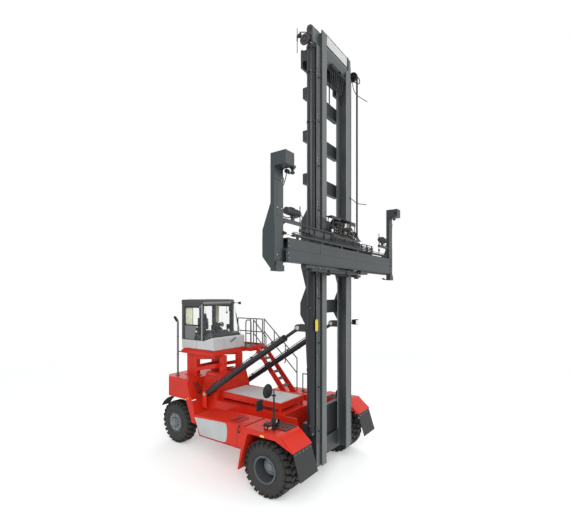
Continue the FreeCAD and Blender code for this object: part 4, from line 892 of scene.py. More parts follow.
def makeRear():
    low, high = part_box("counterweight")
    seams, darks, reds = [], [], []
    x = high[0]
    # lifting loop on the front face, tail lamps, reflectors, cast edges and the tow pin
    loop = pipe([(-0.98, low[1] + 0.20, high[2] - 0.10), (-0.98, low[1] + 0.03, high[2] - 0.22),
                 (-0.98, low[1] - 0.03, high[2] - 0.42), (-0.86, low[1] - 0.03, high[2] - 0.42),
                 (-0.86, low[1] + 0.03, high[2] - 0.22), (-0.86, low[1] + 0.20, high[2] - 0.10)], 0.016,
                0.08)
    darks += [loop, mirrored(loop)]
    pin = post((0, 3.29, low[2] + 0.30), (0, 3.29, high[2] + 0.02), 0.020, 28, 0.003)
    pin.data.transform(Matrix.Scale(0.985, 4, (1, 0, 0)))
    ring = ringOf((0, 3.29, high[2] + 0.055), (0, 1, 0), 0.038, 0.008)
    darks += [pin, ring]
    for side in (1, -1):
        seams.append(block((side * x - 0.002, low[1] + 0.10, low[2] + 0.045),
                           (side * x + 0.004, low[1] + 1.05, low[2] + 0.057), 0.001))
        reds.append(block((side * 0.62 - 0.09, high[1] - 0.004, low[2] + 0.12),
                          (side * 0.62 + 0.09, high[1] + 0.022, low[2] + 0.20), 0.006))
    add("counterweight_fittings", darks, blackPlastic)
    add("counterweight_seams", seams, sillRed)
    add("tail_lamps", reds, redLens)
    marks = [block((side * x - 0.004, 1.84, low[2] + 0.03),
                   (side * (x + 0.008) + 0.004, 1.94, low[2] + 0.065), 0.002) for side in (1, -1)]
    add("counterweight_markers", marks, amberLens)

    slats = []
    for i in range(rear["louvres"]):
        z = 1.93 + 0.058 * i
        t = (z - 1.85) / (2.39 - 1.85)
        x = 0.78 - 0.18 * t
        slats.append(block((x - 0.02, 1.22, z), (x + 0.012, 1.68, z + 0.02), 0.003))
    add("hood_louvres", bothSides(slats), sillRed)
    bars = [flatShape([(0.776, 1.89), (0.792, 1.89), (0.642, 2.35), (0.626, 2.35)], "Y", y, y + 0.02,
                      0.002) for y in (1.19, 1.70)]
    grip = pipe([(-0.15, 1.2, 2.388), (-0.15, 1.2, 2.43), (0.15, 1.2, 2.43), (0.15, 1.2, 2.388)], 0.009,
                0.03)
    add("hood_frames", bothSides(bars), redPaint)
    add("hood_grip", [grip], blackPlastic)
    seam = [block((-0.60, y, 2.389), (0.60, y + 0.008, 2.3935), 0.001) for y in (1.30, 1.62)]
    seam += bolts([(x, 1.16, 2.39) for x in (-0.5, -0.25, 0, 0.25, 0.5)], (0, 0, 1), 0.011, 0.008)
    add("hood_seams", seam, sillRed)


def makeStand():
    # welds, bolted feet, stiffeners and the kick plates around the platform
    red, heads = [], []
    for side in (1, -1):
        for y in (1.125, 1.275):
            red.append(flatShape([(side * 0.30, 2.39), (side * 0.30, 2.47), (side * 0.22, 2.39)], "Y", y,
                                 y + 0.012, 0.002))
        red.append(block((side * 0.47 - 0.185, 1.09, 2.389), (side * 0.47 + 0.185 - 0.10 * (side > 0),
                1.32, 2.405), 0.003))
        red.append(block((side * 0.56 - 0.12, 2.14, 2.20), (side * 0.56 + 0.12, 2.72, 2.222)))
        heads += bolts([(side * 0.56 + dx, y, 2.222) for dx in (-0.1, 0.1) for y in (2.17, 2.69)],
                       (0, 0, 1), 0.016, 0.014)
        red.append(block((side * 0.64 - 0.002, 2.18, 2.62), (side * 0.64 + 0.012 * side + 0.002, 2.66,
                2.64), 0.002))
    red += [
        block((-0.782, 1.245, 2.948), (0.782, 1.262, 3.066), 0.003),
        block((0.784, 1.015, 3.055), (1.565, 1.032, 3.14), 0.003),
        block((1.553, 1.032, 3.055), (1.565, 2.30, 3.14), 0.003),
    ]
    add("stand_stiffeners", red, redPaint)
    add("stand_bolts", heads, zinc)
    grate = []
    y0, y1, x0, x1 = 1.04, 2.76, 0.80, 1.545
    step = (x1 - x0) / rear["meshBars"]
    bar = block((x0, y0, 3.06), (x0 + step * 0.4, y1, 3.078), 0.002)
    grate += [bar] + [copyOf(bar, Matrix.Translation((step * i, 0, 0))) for i in range(1, rear["meshBars"])]
    cross = block((x0, y0 + 0.10, 3.0605), (x1 - step * 0.6, y0 + 0.112, 3.073), 0.001)
    grate += [cross] + [copyOf(cross, Matrix.Translation((0, 0.16 * i, 0))) for i in range(1, 10)]
    add("landing_grating", grate, stepMetal)
    clips = []
    for side in (1, -1):
        for y in (1.47, 2.68):
            clips.append(post((side * 0.56, y, 3.062), (side * 0.56, y, 3.082), 0.085, 28, 0.004))
            clips.append(post((side * 0.56, y, 3.100), (side * 0.56, y, 3.118), 0.075, 28, 0.004))
    add("cab_mount_plates", clips, castMetal)


def makeStair():
    # grated treads with folded ends, seen between the red stringers
    treads, noses = [], []
    for i in range(rear["treads"]):
        share = (i + 1) / (rear["treads"] + 1)
        z = stair["base"] + stair["rise"] * share
        y = stair["foot"] + 0.06 + stair["run"] * share
        noses.append(block((1.102, y - 0.006, z - 0.036), (1.518, y + 0.012, z + 0.006), 0.003))
        treads += [block((1.105, y + 0.022 + 0.034 * k, z), (1.515, y + 0.040 + 0.034 * k, z + 0.012),
                         0.002) for k in range(5)]
        for x in (1.101, 1.507):
            treads.append(block((x, y + 0.02, z - 0.05), (x + 0.012, y + 0.18, z - 0.03), 0.002))
    add("stair_treads", treads, stepMetal)
    add("stair_nosings", noses, railPaint)

    r = rear["railRadius"]
    rails, feet = [], []
    top, middle, floorZ = stair["top"], stair["knee"], stair["landing"]
    for y in (1.65, 1.37):
        rails.append(post((1.50, y, floorZ), (1.50, y, top - 0.01), r * 0.9, 20))
    feet += [post((x, y, floorZ), (x, y, floorZ + 0.012), 0.045, 24, 0.003)
             for x, y in ((1.50, 1.65), (1.50, 1.37), (1.50, 1.08), (1.00, 1.08))]
    rails += [
        pipe([(1.00, 1.08, middle), (1.00, 0.80, 3.30), (1.00, 0.52, 3.02)], r * 0.85, 0.05),
        pipe([(0.84, 1.06, floorZ), (0.84, 1.06, top), (0.84, 1.30, top), (0.84, 1.30, floorZ)], r * 0.9,
             0.09),
        post((0.84, 1.06, middle), (0.84, 1.30, middle), r * 0.8, 16),
    ]
    railFoot, railHead = Vector((1.62, -0.35, 2.73)), Vector((1.62, 1.10, top))
    for t in (0.34, 0.68):
        p = railFoot + (railHead - railFoot) * t
        drop = 0.08 * (1 - t)
        rails.append(post((1.62, p.y, p.z - 0.56 - drop), (1.62, p.y, p.z), r * 0.8, 16))
        rails.append(post((1.56, p.y, p.z - 0.58 - drop), (1.62, p.y, p.z - 0.58 - drop), r * 0.8, 16))
    rails.append(pipe([(1.62, -1.10, 1.64), (1.62, -1.10, 2.05), (1.62, -0.93, 2.05), (1.62, -0.93, 1.63)],
                      r * 0.7, 0.05))
    add("handrail_posts", rails, railPaint)
    add("handrail_feet", feet, railPaint)


makeRear()
makeStand()
makeStair()
print("rear body and stair detailed")


mast = {
    "front": -2.76,          # front faces of the inner columns
    "liftX": 1.0,
    "liftY": -2.55,
    "liftR": 0.112,
    "levels": (4.42, 5.522, 6.624, 7.726, 8.828, 9.93, 10.89),
    "chainX": 0.46,
    "chainPitch": 0.062,
    "sheaveY": -2.38,
    "sheaveZ": 11.42,
    "chainReach": 0.122,     # from the sheave's axle to the middle of the chain
    "hoseX": 1.142,
    "hoseY": -2.805,
    "hoseGap": 0.026,        # half the distance between the two hoses
    "hoseRadius": 0.016,
    "hoseWheelY": -2.68,
    "hoseWheelZ": 11.39,
    "hoseReach": 0.129,
}


def stretched(name, pieces, paint):
    # a chain or hose that reaches from one body to the next
    piece = painted(name, pieces, paint)
    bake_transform(piece)
    return piece


def chainRun(x, y, low, high):
    # plates in turn on a wide and a narrow row, as a leaf chain has
    count = int((high - low) / mast["chainPitch"])
    pitch = (high - low) / count
    wide = block((x - 0.024, y - 0.011, low), (x + 0.024, y + 0.011, low + pitch * 0.80), 0.004, 1)
    narrow = block((x - 0.017, y - 0.013, low + pitch * 0.74), (x + 0.017, y + 0.013, low + pitch * 1.06),
                   0.002, 1)
    made = []
    for i in range(count):
        lift = Matrix.Translation((0, 0, pitch * i))
        made += [copyOf(wide, lift), copyOf(narrow, lift)] if i else [wide, narrow]
    return made


def makeOuterMast():
    x, y, r = mast["liftX"], mast["liftY"], mast["liftR"]
    bands, heads = [], []
    for z in (1.62, 3.02, 4.60, 6.08, 9.30, 10.55):
        bands.append(aimed([(-0.03, r), (-0.03, r + 0.009), (0.03, r + 0.009), (0.03, r)], (x, y, z), 90,
                           "Y", 48))
        bands.append(block((x + r - 0.004, y - 0.03, z - 0.028), (x + r + 0.03, y + 0.03, z + 0.028)))
        heads += bolts([(x + r + 0.004, y - 0.03, z - 0.012), (x + r + 0.004, y - 0.03, z + 0.016)],
                       (0, -1, 0), 0.008, 0.012)
    bands.append(aimed([(-0.10, r), (-0.10, r + 0.014), (-0.02, r + 0.014), (-0.004, r + 0.004),
                        (-0.004, 0.076), (0.022, 0.074), (0.022, 0.071)], (x, y, 11.245), -90, "Y", 56))
    bands.append(block((x - 0.03, y - r - 0.045, 1.50), (x + 0.03, y - r + 0.01, 1.60), 0.006))
    add("lift_cylinder_bands", bothSides(bands), barrelPaint, "outer_mast")

    for z in mast["levels"][:-1]:
        heads += [boltHead((0.935, -2.425, z + dz), (1, 0, 0), 0.013, 0.012) for dz in (0.10, 0.26)]
    for z in (2.1, 3.3, 5.0, 6.1, 7.2, 8.3, 9.4, 10.5):
        heads += bolts([(0.962, -2.70, z), (0.962, -2.70, z + 0.07)], (0, -1, 0), 0.013, 0.012)
    add("outer_mast_bolts", bothSides(heads), zinc, "outer_mast")

    tubes, clips = [], []
    for dx in (0.880, 0.915):
        tubes.append(pipe([(dx, -2.712, 1.15), (dx, -2.712, 10.70), (dx, -2.60, 10.95)], 0.011, 0.08))
    for i in range(9):
        z = 1.45 + 1.12 * i
        clips.append(block((0.862, -2.728, z), (0.934, -2.699, z + 0.035)))
    add("mast_pipes", bothSides(tubes), pipeGrey, "outer_mast")
    add("mast_pipe_clips", bothSides(clips), blackPlastic, "outer_mast")

    # a black cover with rounded corners across the foot
    corners = []
    for x, z, turn in ((0.58, 1.03, -90), (0.58, 1.74, 0), (-0.58, 1.74, 90), (-0.58, 1.03, 180)):
        for k in range(5):
            angle = math.radians(turn + 22.5 * k)
            corners.append((x + 0.08 * math.cos(angle), z + 0.08 * math.sin(angle)))
    cover = [flatShape(corners, "Y", -2.426, -2.413)]
    cover += bolts([(x, -2.426, z) for x in (-0.60, 0.60) for z in (1.02, 1.38, 1.75)], (0, -1, 0), 0.012,
                   0.008)
    add("foot_cover", cover, blackPlastic, "outer_mast")

    # trunnion caps, foot gussets and the stops at the foot
    plates = [lathe([(0.0, 0.095), (0.012, 0.095), (0.018, 0.085), (0.018, 0.03), (0.028, 0.026),
                     (0.028, 0.0)], (0.858, -2.28, 0.80), 48)]
    plates += around(boltHead((0.870, -2.28, 0.873), (1, 0, 0), 0.010, 0.010), 6, (0, -2.28, 0.80))
    plates.append(flatShape([(-2.405, 1.10), (-2.405, 1.62), (-2.34, 1.55), (-2.30, 1.10)], "X", 0.86,
                            0.88, 0.003))
    plates.append(block((0.70, -2.415, 0.558), (0.935, -2.395, 0.62), 0.003))
    for z in (1.9, 2.75):
        plates.append(flatShape([(-2.41, z), (-2.41, z + 0.34), (-2.36, z + 0.24), (-2.36, z + 0.10)], "X",
                                0.862, 0.882, 0.003))
    add("mast_foot_plates", bothSides(plates), mastPaint, "outer_mast")

    # crossbar ends: closing plates, lifting eyes and hose guides
    ends, dark = [], []
    for z in mast["levels"]:
        short = 4.0 < z < 7.2
        half = 0.875 if short else 0.995
        inset = 0.0 if short else 0.045
        ends.append(block((half - 0.012, -2.405, z + inset + 0.012),
                          (half + 0.006, -2.295, z + 0.36 - inset - 0.012), 0.003))
        ends.append(block((0.44, -2.292, z + 0.06), (0.46, -2.262, z + 0.30)))
        dark.append(block((-0.35, -2.292, z + 0.12), (-0.15, -2.255, z + 0.24), 0.008))
    ends.append(ringOf((0.35, -2.29, 11.30), (1, 0, 0), 0.05, 0.014))
    add("crossbar_plates", bothSides(ends), mastPaint, "outer_mast")
    runs = [hose([(dx, -2.27, 4.2), (dx, -2.262, 6.0), (dx + 0.01, -2.272, 8.0), (dx, -2.262, 10.2),
                  (dx, -2.29, 11.0), (dx + 0.02, -2.36, 11.29)], 0.013)
            for dx in (-0.30, -0.265, -0.23, -0.195)]
    add("crossbar_hoses", runs, hoseRubber, "outer_mast")
    add("crossbar_hose_clamps", dark, blackPlastic, "outer_mast")

    # blank plates of the near column
    plate = block((-1.062, -2.712, 4.01), (-0.935, -2.704, 4.30), 0.002)
    holder = block((-1.05, -2.706, 4.05), (-0.90, -2.699, 4.26), 0.002)
    pins = bolts([(x, -2.712, z) for x in (-1.045, -0.952) for z in (4.03, 4.28)], (0, -1, 0), 0.006, 0.004)
    add("mast_blank_plate", [plate], yellowPlate, "outer_mast")
    add("mast_plate_holder", [holder] + pins, axlePaint, "outer_mast")


def makeInnerMast():
    front = mast["front"]
    # blank panel across the head, its frame, and stiffeners on the ears
    panel = block((-0.57, front - 0.007, 11.395), (0.57, front + 0.001, 11.650), 0.002)
    add("mast_head_panel", [panel], whitePaint, "inner_mast")
    parts, heads = [], []
    for z in (11.375, 11.652):
        parts.append(block((-0.585, front - 0.012, z), (0.585, front + 0.001, z + 0.016), 0.003))
    parts.append(block((0.585, front - 0.02, 11.33), (0.66, front + 0.001, 11.675)))
    heads += bolts([(x, front - 0.007, z) for x in (-0.545, -0.2, 0.2, 0.545) for z in (11.41, 11.635)],
                   (0, -1, 0), 0.009, 0.006)
    parts.append(post((-0.579, front + 0.055, 11.335), (0.579, front + 0.055, 11.335), 0.052, 40, 0.004))
    for side in (1, -1):
        parts += [
            lathe([(0.0, 0.06), (0.012, 0.06), (0.012, 0.02), (0.0, 0.02)], (side * 1.08, -2.55, 11.63),
                  32, side),
            slab(side * 0.726, side * 0.92, -2.64, -2.50, 11.655, 11.695, 0.006),
            post((side * 0.99, -2.55, 11.302), (side * 0.99, -2.55, 11.31), 0.09, 36, 0.002),
        ]
        heads += bolts([(side * 0.62, front, z) for z in (0.7, 1.1, 1.5)], (0, -1, 0), 0.012, 0.009)
    for side in (1, -1):
        for x in (side * 0.33, side * 0.47):
            parts.append(flatShape([(-2.735, 11.33), (-2.735, 11.52), (-2.33, 11.47), (-2.33, 11.37)], "X",
                                   x - 0.009, x + 0.009, 0.003))
    add("mast_head_frame", parts, mastPaint, "inner_mast")
    add("mast_head_bolts", heads, zinc, "inner_mast")

    wheels = []
    for side in (1, -1):
        y, z = mast["sheaveY"], mast["sheaveZ"]
        wheels.append(lathe([(-0.028, 0.03), (-0.028, 0.122), (-0.022, 0.128), (-0.016, 0.110),
                             (0.016, 0.110), (0.022, 0.128), (0.028, 0.122), (0.028, 0.03),
                             (-0.028, 0.03)], (side * mast["chainX"], y, z), 56))
        wheels.append(post((side * 0.32, y, z), (side * 0.48, y, z), 0.026, 28, 0.003))
    for side, y, z in ((-1, -2.45, 11.37), (1, -2.68, 11.39)):
        wheels.append(lathe([(-0.046, 0.124), (-0.046, 0.134), (-0.036, 0.137), (-0.028, 0.126),
                             (-0.014, 0.126), (-0.006, 0.137), (0.003, 0.134), (0.003, 0.095),
                             (-0.004, 0.090), (-0.004, 0.045), (0.010, 0.04), (0.012, 0.0)],
                            (side * 1.168, y, z), 56, side))
    add("chain_and_hose_wheels", wheels, castMetal, "inner_mast")

    # hose guides, stays and the aerial beside the head of the near column
    dark = [
        pipe([(-1.10, -2.60, 11.44), (-1.16, -2.50, 11.52), (-1.16, -2.30, 11.60)], 0.012, 0.05),
        pipe([(-1.10, -2.60, 11.34), (-1.16, -2.40, 11.42), (-1.15, -2.22, 11.50)], 0.012, 0.05),
        post((-1.15, -2.22, 11.10), (-1.15, -2.22, 11.735), 0.009, 16, 0.002),
        post((-1.15, -2.22, 11.40), (-1.15, -2.22, 11.56), 0.016, 20, 0.003),
        block((-1.19, -2.35, 11.47), (-1.13, -2.26, 11.56), 0.012),
        pipe([(-1.14, -2.57, 11.30), (-1.19, -2.57, 11.16), (-1.15, -2.66, 11.08), (-1.09, -2.68, 11.2)],
             0.012, 0.05),
        pipe([(1.10, -2.56, 11.34), (1.17, -2.48, 11.42), (1.17, -2.40, 11.32)], 0.014, 0.05),
        pipe([(1.15, -2.72, 11.25), (1.19, -2.86, 11.15), (1.19, -2.88, 11.28), (1.16, -2.78, 11.42)],
             0.014, 0.05),
        block((1.12, -2.60, 11.22), (1.18, -2.50, 11.30), 0.008),
        hose([(1.15, -2.66, 11.24), (1.20, -2.66, 11.08), (1.32, -2.68, 10.99), (1.47, -2.73, 10.93),
              (1.75, -2.87, 10.87)], 0.010),
    ]
    add("mast_head_guides", dark, blackPlastic, "inner_mast")

    clutter = []      # short hoses looped under the head
    for k, x in enumerate((-0.12, -0.06, 0.02, 0.10, 0.17)):
        y = -2.63 - 0.018 * k
        clutter.append(hose([(x, y, 11.12), (x - 0.05, y, 10.85), (x + 0.11, y, 10.55 - 0.03 * k),
                             (x + 0.22, y, 10.62), (x + 0.29, y, 10.95), (x + 0.30, y, 11.12)], 0.014))
    clutter.append(block((-0.2, -2.72, 11.04), (0.30, -2.60, 11.14), 0.01))
    clutter.append(block((0.15, -2.72, 11.02), (0.56, -2.60, 11.12), 0.01))
    add("mast_head_hoses", clutter, hoseRubber, "inner_mast")

    strips = []
    for side in (1, -1):
        strips += [slab(side * 0.737, side * 0.80, -2.737, -2.729, z, z + 0.2, 0.002) for z in (0.66, 0.98)]
    add("mast_slide_pads", strips, darkPlastic, "inner_mast")


def makeChains():
    y, z, r = mast["sheaveY"], mast["sheaveZ"], mast["chainReach"]
    fronts, backs, arcs, anchors, hooks = [], [], [], [], []
    for side in (1, -1):
        x = side * mast["chainX"]
        fronts += chainRun(x, y - r, 6.66, z)
        backs += chainRun(x, y + r, 10.30, z)
        link = block((x - 0.023, y - 0.014, z + r - 0.011), (x + 0.023, y + 0.014, z + r + 0.011), 0.003, 1)
        for k in range(-7, 8):
            arcs.append(turned(copyOf(link), math.radians(12 * k), "X", (x, y, z)))
        only(link)
        bpy.ops.object.delete()
        hooks.append(post((x, y + r, 10.20), (x, y + r, 10.34), 0.016, 20, 0.002))
        hooks.append(block((x - 0.05, -2.292, 10.17), (x + 0.05, -2.225, 10.22), 0.006))
        anchors.append(block((x - 0.03, y - r - 0.02, 6.60), (x + 0.03, y - r + 0.02, 6.68), 0.006))
        anchors.append(post((x, y - r, 6.47), (x, y - r, 6.62), 0.016, 20, 0.002))
    stretched("lift_chains", fronts, steel)
    stretched("anchor_chains", backs,
              steel)
    add("chain_arcs", arcs, steel, "inner_mast")
    add("chain_hooks", hooks, steel, "outer_mast")
    anchors.append(block((-0.521, -2.56, 6.50), (0.521, -2.493, 6.585), 0.006))
    add("chain_anchors", anchors, spreaderPaint, "carriage")

    x, y, r = mast["hoseX"], mast["hoseY"], mast["hoseRadius"]
    wheelY, wheelZ, reach = mast["hoseWheelY"], mast["hoseWheelZ"], mast["hoseReach"]
    lines, arc = [], []
    for place in (x - mast["hoseGap"], x + mast["hoseGap"]):
        lines.append(post((place, y - 0.004, 6.42), (place, y - 0.004, wheelZ), r, 16))
    stretched("mast_hoses", lines, hoseRubber)
    for place in (x - mast["hoseGap"], x + mast["hoseGap"]):
        turns = [math.radians(180 - 20 * k) for k in range(9)]
        arc.append(hose([(place, wheelY + reach * math.cos(a), wheelZ + reach * math.sin(a))
                         for a in turns], r))
        arc.append(post((place, wheelY + 0.121, 11.30), (place, wheelY + 0.121, 11.41), r, 16))
    add("mast_hose_arcs", arc, hoseRubber, "inner_mast")


tilt = {
    "eye": (0.90, -2.12, 4.06),      # pins of the left cylinder
    "base": (0.90, 1.42, 1.78),
    "lugIn": 0.814,                  # faces of the two lugs
    "lugOut": 0.986,
    "pinCap": [(0.0, 0.055), (0.012, 0.055), (0.016, 0.048), (0.016, 0.0)],
}


def addPair(name, pieces, body, paint):
    # the left pieces and their mirror images, each on its own body
    twins = [mirrored(piece) for piece in pieces]
    add(name + "left", pieces, paint, body + "left")
    add(name + "right", twins, paint, body + "right")


def makeTilt():
    # bands, a feed pipe and end caps along each tilt cylinder
    eye, base = Vector(tilt["eye"]), Vector(tilt["base"])
    run = (eye - base).normalized()
    up = Vector((0, run.z, -run.y))
    bands = []
    for share in (0.12, 1.05, 1.95, 2.75, 3.50):
        spot = base + run * share
        bands.append(post(spot - run * 0.018, spot + run * 0.018, 0.0905, 40, 0.002))
    end = base + run * 3.651
    bands.append(post(end - run * 0.10, end + run * 0.012, 0.094, 40, 0.006))
    bands.append(post(end + run * 0.005, end + run * 0.03, 0.062, 32, 0.003))
    start = base + run * 0.35 + up * 0.115
    finish = base + run * 3.50 + up * 0.115
    feed = pipe([base + run * 0.30 + up * 0.08, start, finish, base + run * 3.55 + up * 0.08], 0.011, 0.03)
    for share in (0.5, 1.4, 2.3, 3.2):
        spot = base + run * share
        bands.append(block(spot + up * 0.085 - Vector((0.02, 0.02, 0.012)), spot + up * 0.125
                           + Vector((0.02, 0.02, 0.004)), 0.003))
    addPair("tilt_barrel_fittings_", bands + [feed], "tilt_barrel_", barrelPaint)
    collar = post(eye - run * 0.135, eye - run * 0.085, 0.054, 32, 0.006)
    nut = post(eye - run * 0.16, eye - run * 0.135, 0.052, 6, 0.003)
    boss = lathe([(-0.056, 0.088), (-0.058, 0.093), (0.058, 0.093), (0.056, 0.088)], eye, 40)
    addPair("tilt_rod_fittings_", [collar, nut, boss], "tilt_rod_", axlePaint)
    pinEnds, lowPins = [], []
    for side, x in ((-1, tilt["lugIn"]), (1, tilt["lugOut"])):
        cap = x + side * 0.004
        pinEnds.append(lathe(tilt["pinCap"], (cap, eye.y, eye.z), 32, side))
        pinEnds.append(slab(x, x + side * 0.02, eye.y + 0.055, eye.y + 0.10, eye.z - 0.03, eye.z + 0.03))
        lowPins.append(lathe(tilt["pinCap"], (cap, base.y, base.z), 32, side))
    for z in (3.90, 4.22):
        pinEnds += bolts([(0.96, -2.37, z), (0.82, -2.37, z)], (0, 1, 0), 0.013, 0.012)
    add("tilt_eye_pins", bothSides(pinEnds), zinc, "outer_mast")
    add("tilt_base_pins", bothSides(lowPins), zinc)


makeOuterMast()
makeInnerMast()
makeChains()
makeTilt()
print("mast and tilt cylinders detailed")


spread = {
    "front": -3.175,         # front face of the beam
    "rear": -3.025,
    "top": 6.08,
    "low": 5.60,
    "seam": 5.85,            # height of the long seam
    "cylinderZ": 6.178,
    "barrel": 0.033,
    "rod": 0.018,
    "unitLow": 6.452,
}


def makeBeam():
    f, top, low = spread["front"], spread["top"], spread["low"]
    dark, heads = [], []
    skins = slabs(
        (-2.88, 2.88, f - 0.005, f, low + 0.03, spread["seam"] - 0.006),
        (-2.88, -1.63, f - 0.005, f, spread["seam"] + 0.006, top - 0.02),
        (-1.61, 2.88, f - 0.005, f, spread["seam"] + 0.006, 5.985),
        (-1.61, 2.88, f - 0.005, f, 5.997, top - 0.02),
    )
    for side in (1, -1):
        skins += slabs(
            (side * 2.885, side * 2.918, f - 0.012, f + 0.001, low, top),
            (side * 2.885, side * 2.918, f, spread["rear"] + 0.01, top - 0.001, top + 0.012),
            (side * 2.885, side * 2.918, f, spread["rear"] + 0.01, low - 0.012, low + 0.001),
        )
    skins += slabs(
        (-2.90, 2.90, f - 0.004, f + 0.02, top - 0.002, top + 0.014),
        (-2.15, -0.70, -3.13, -2.99, 5.515, low, 0.006),
        (0.70, 1.18, -3.13, -2.95, 5.50, low, 0.006),
        (1.25, 2.75, -3.11, -3.00, 5.56, low, 0.006),
    )
    add("beam_skins", skins, spreaderPaint, "carriage")

    dark += [slab(x0, x1, -3.16, -3.02, 5.455, 5.512, 0.008) for x0, x1 in ((-1.95, -1.25), (-1.12, -0.30),
            (-0.20, 0.50))]
    dark += [
        slab(0.36, 0.62, -3.17, -3.00, 5.40, 5.46, 0.012),
        slab(0.44, 0.54, -3.15, -3.04, 5.36, 5.41, 0.012),
        pipe([(-1.9, -3.03, 5.50), (-1.5, -3.02, 5.47), (-0.75, -3.02, 5.44), (0.3, -3.03, 5.43),
              (0.9, -3.03, 5.47)], 0.014, 0.1),
    ]
    heads += [boltHead((-1.85 + 0.30 * i, -3.13, 5.545), (0, -1, 0), 0.011, 0.009) for i in range(9)]
    for side in (1, -1):
        heads += [boltHead((side * 2.90, f - 0.012, z), (0, -1, 0), 0.010, 0.008)
                  for z in (5.68, 5.78, 5.92, 6.02)]
    add("beam_underside", dark, axlePaint, "carriage")
    add("beam_bolts", heads, zinc, "carriage")


def makeSlideCylinders():
    # each barrel lies on the beam and its rod ends at the post it pushes
    z, r = spread["cylinderZ"], spread["barrel"]
    for side, y, name in ((-1, -3.135, "right"), (1, -3.062, "left")):
        low, high = (-2.70, 0.62) if side < 0 else (-0.62, 2.70)
        end = side * 2.70
        body = [post((low, y, z), (high, y, z), r, 32, 0.004)]
        body.append(post((end - side * 0.09, y, z), (end + side * 0.004, y, z), r + 0.008, 32, 0.004))
        body.append(post((end, y, z), (end + side * 0.02, y, z), 0.026, 24, 0.003))
        back = -side * 0.62
        body.append(post((back, y, z), (back + side * 0.05, y, z), r + 0.006, 32, 0.004))
        body.append(pipe([(back + side * 0.04, y, z + r + 0.004), (back + side * 0.04, y, z + r + 0.03),
                          (end - side * 0.05, y, z + r + 0.03), (end - side * 0.05, y, z + r)], 0.008, 0.02))
        add("slide_barrel_" + name, body, axlePaint, "carriage")
        saddles = []
        for share in (0.06, 0.36, 0.66, 0.94):
            x = low + (high - low) * share
            saddles.append(slab(x - 0.022, x + 0.022, y - 0.026, y + 0.026, spread["top"], z - r + 0.012,
                                0.004))
            saddles.append(post((x - 0.014, y, z), (x + 0.014, y, z), r + 0.006, 32, 0.002))
        add("slide_saddles_" + name, saddles, spreaderPaint, "carriage")
        rod = post((side * 2.952, y, z), (-side * 0.50, y, z), spread["rod"], 24, 0.002)
        add("slide_rod_" + name, [rod], chrome, "spreader_" + name)
        eye = post((side * 2.93, y, z), (side * 2.98, y, z), 0.030, 24, 0.003)
        lug = slab(side * 2.962, side * 2.981, -3.12, -3.02, z - 0.05, z + 0.05)
        add("slide_rod_eye_" + name, [eye, lug], axlePaint, "spreader_" + name)


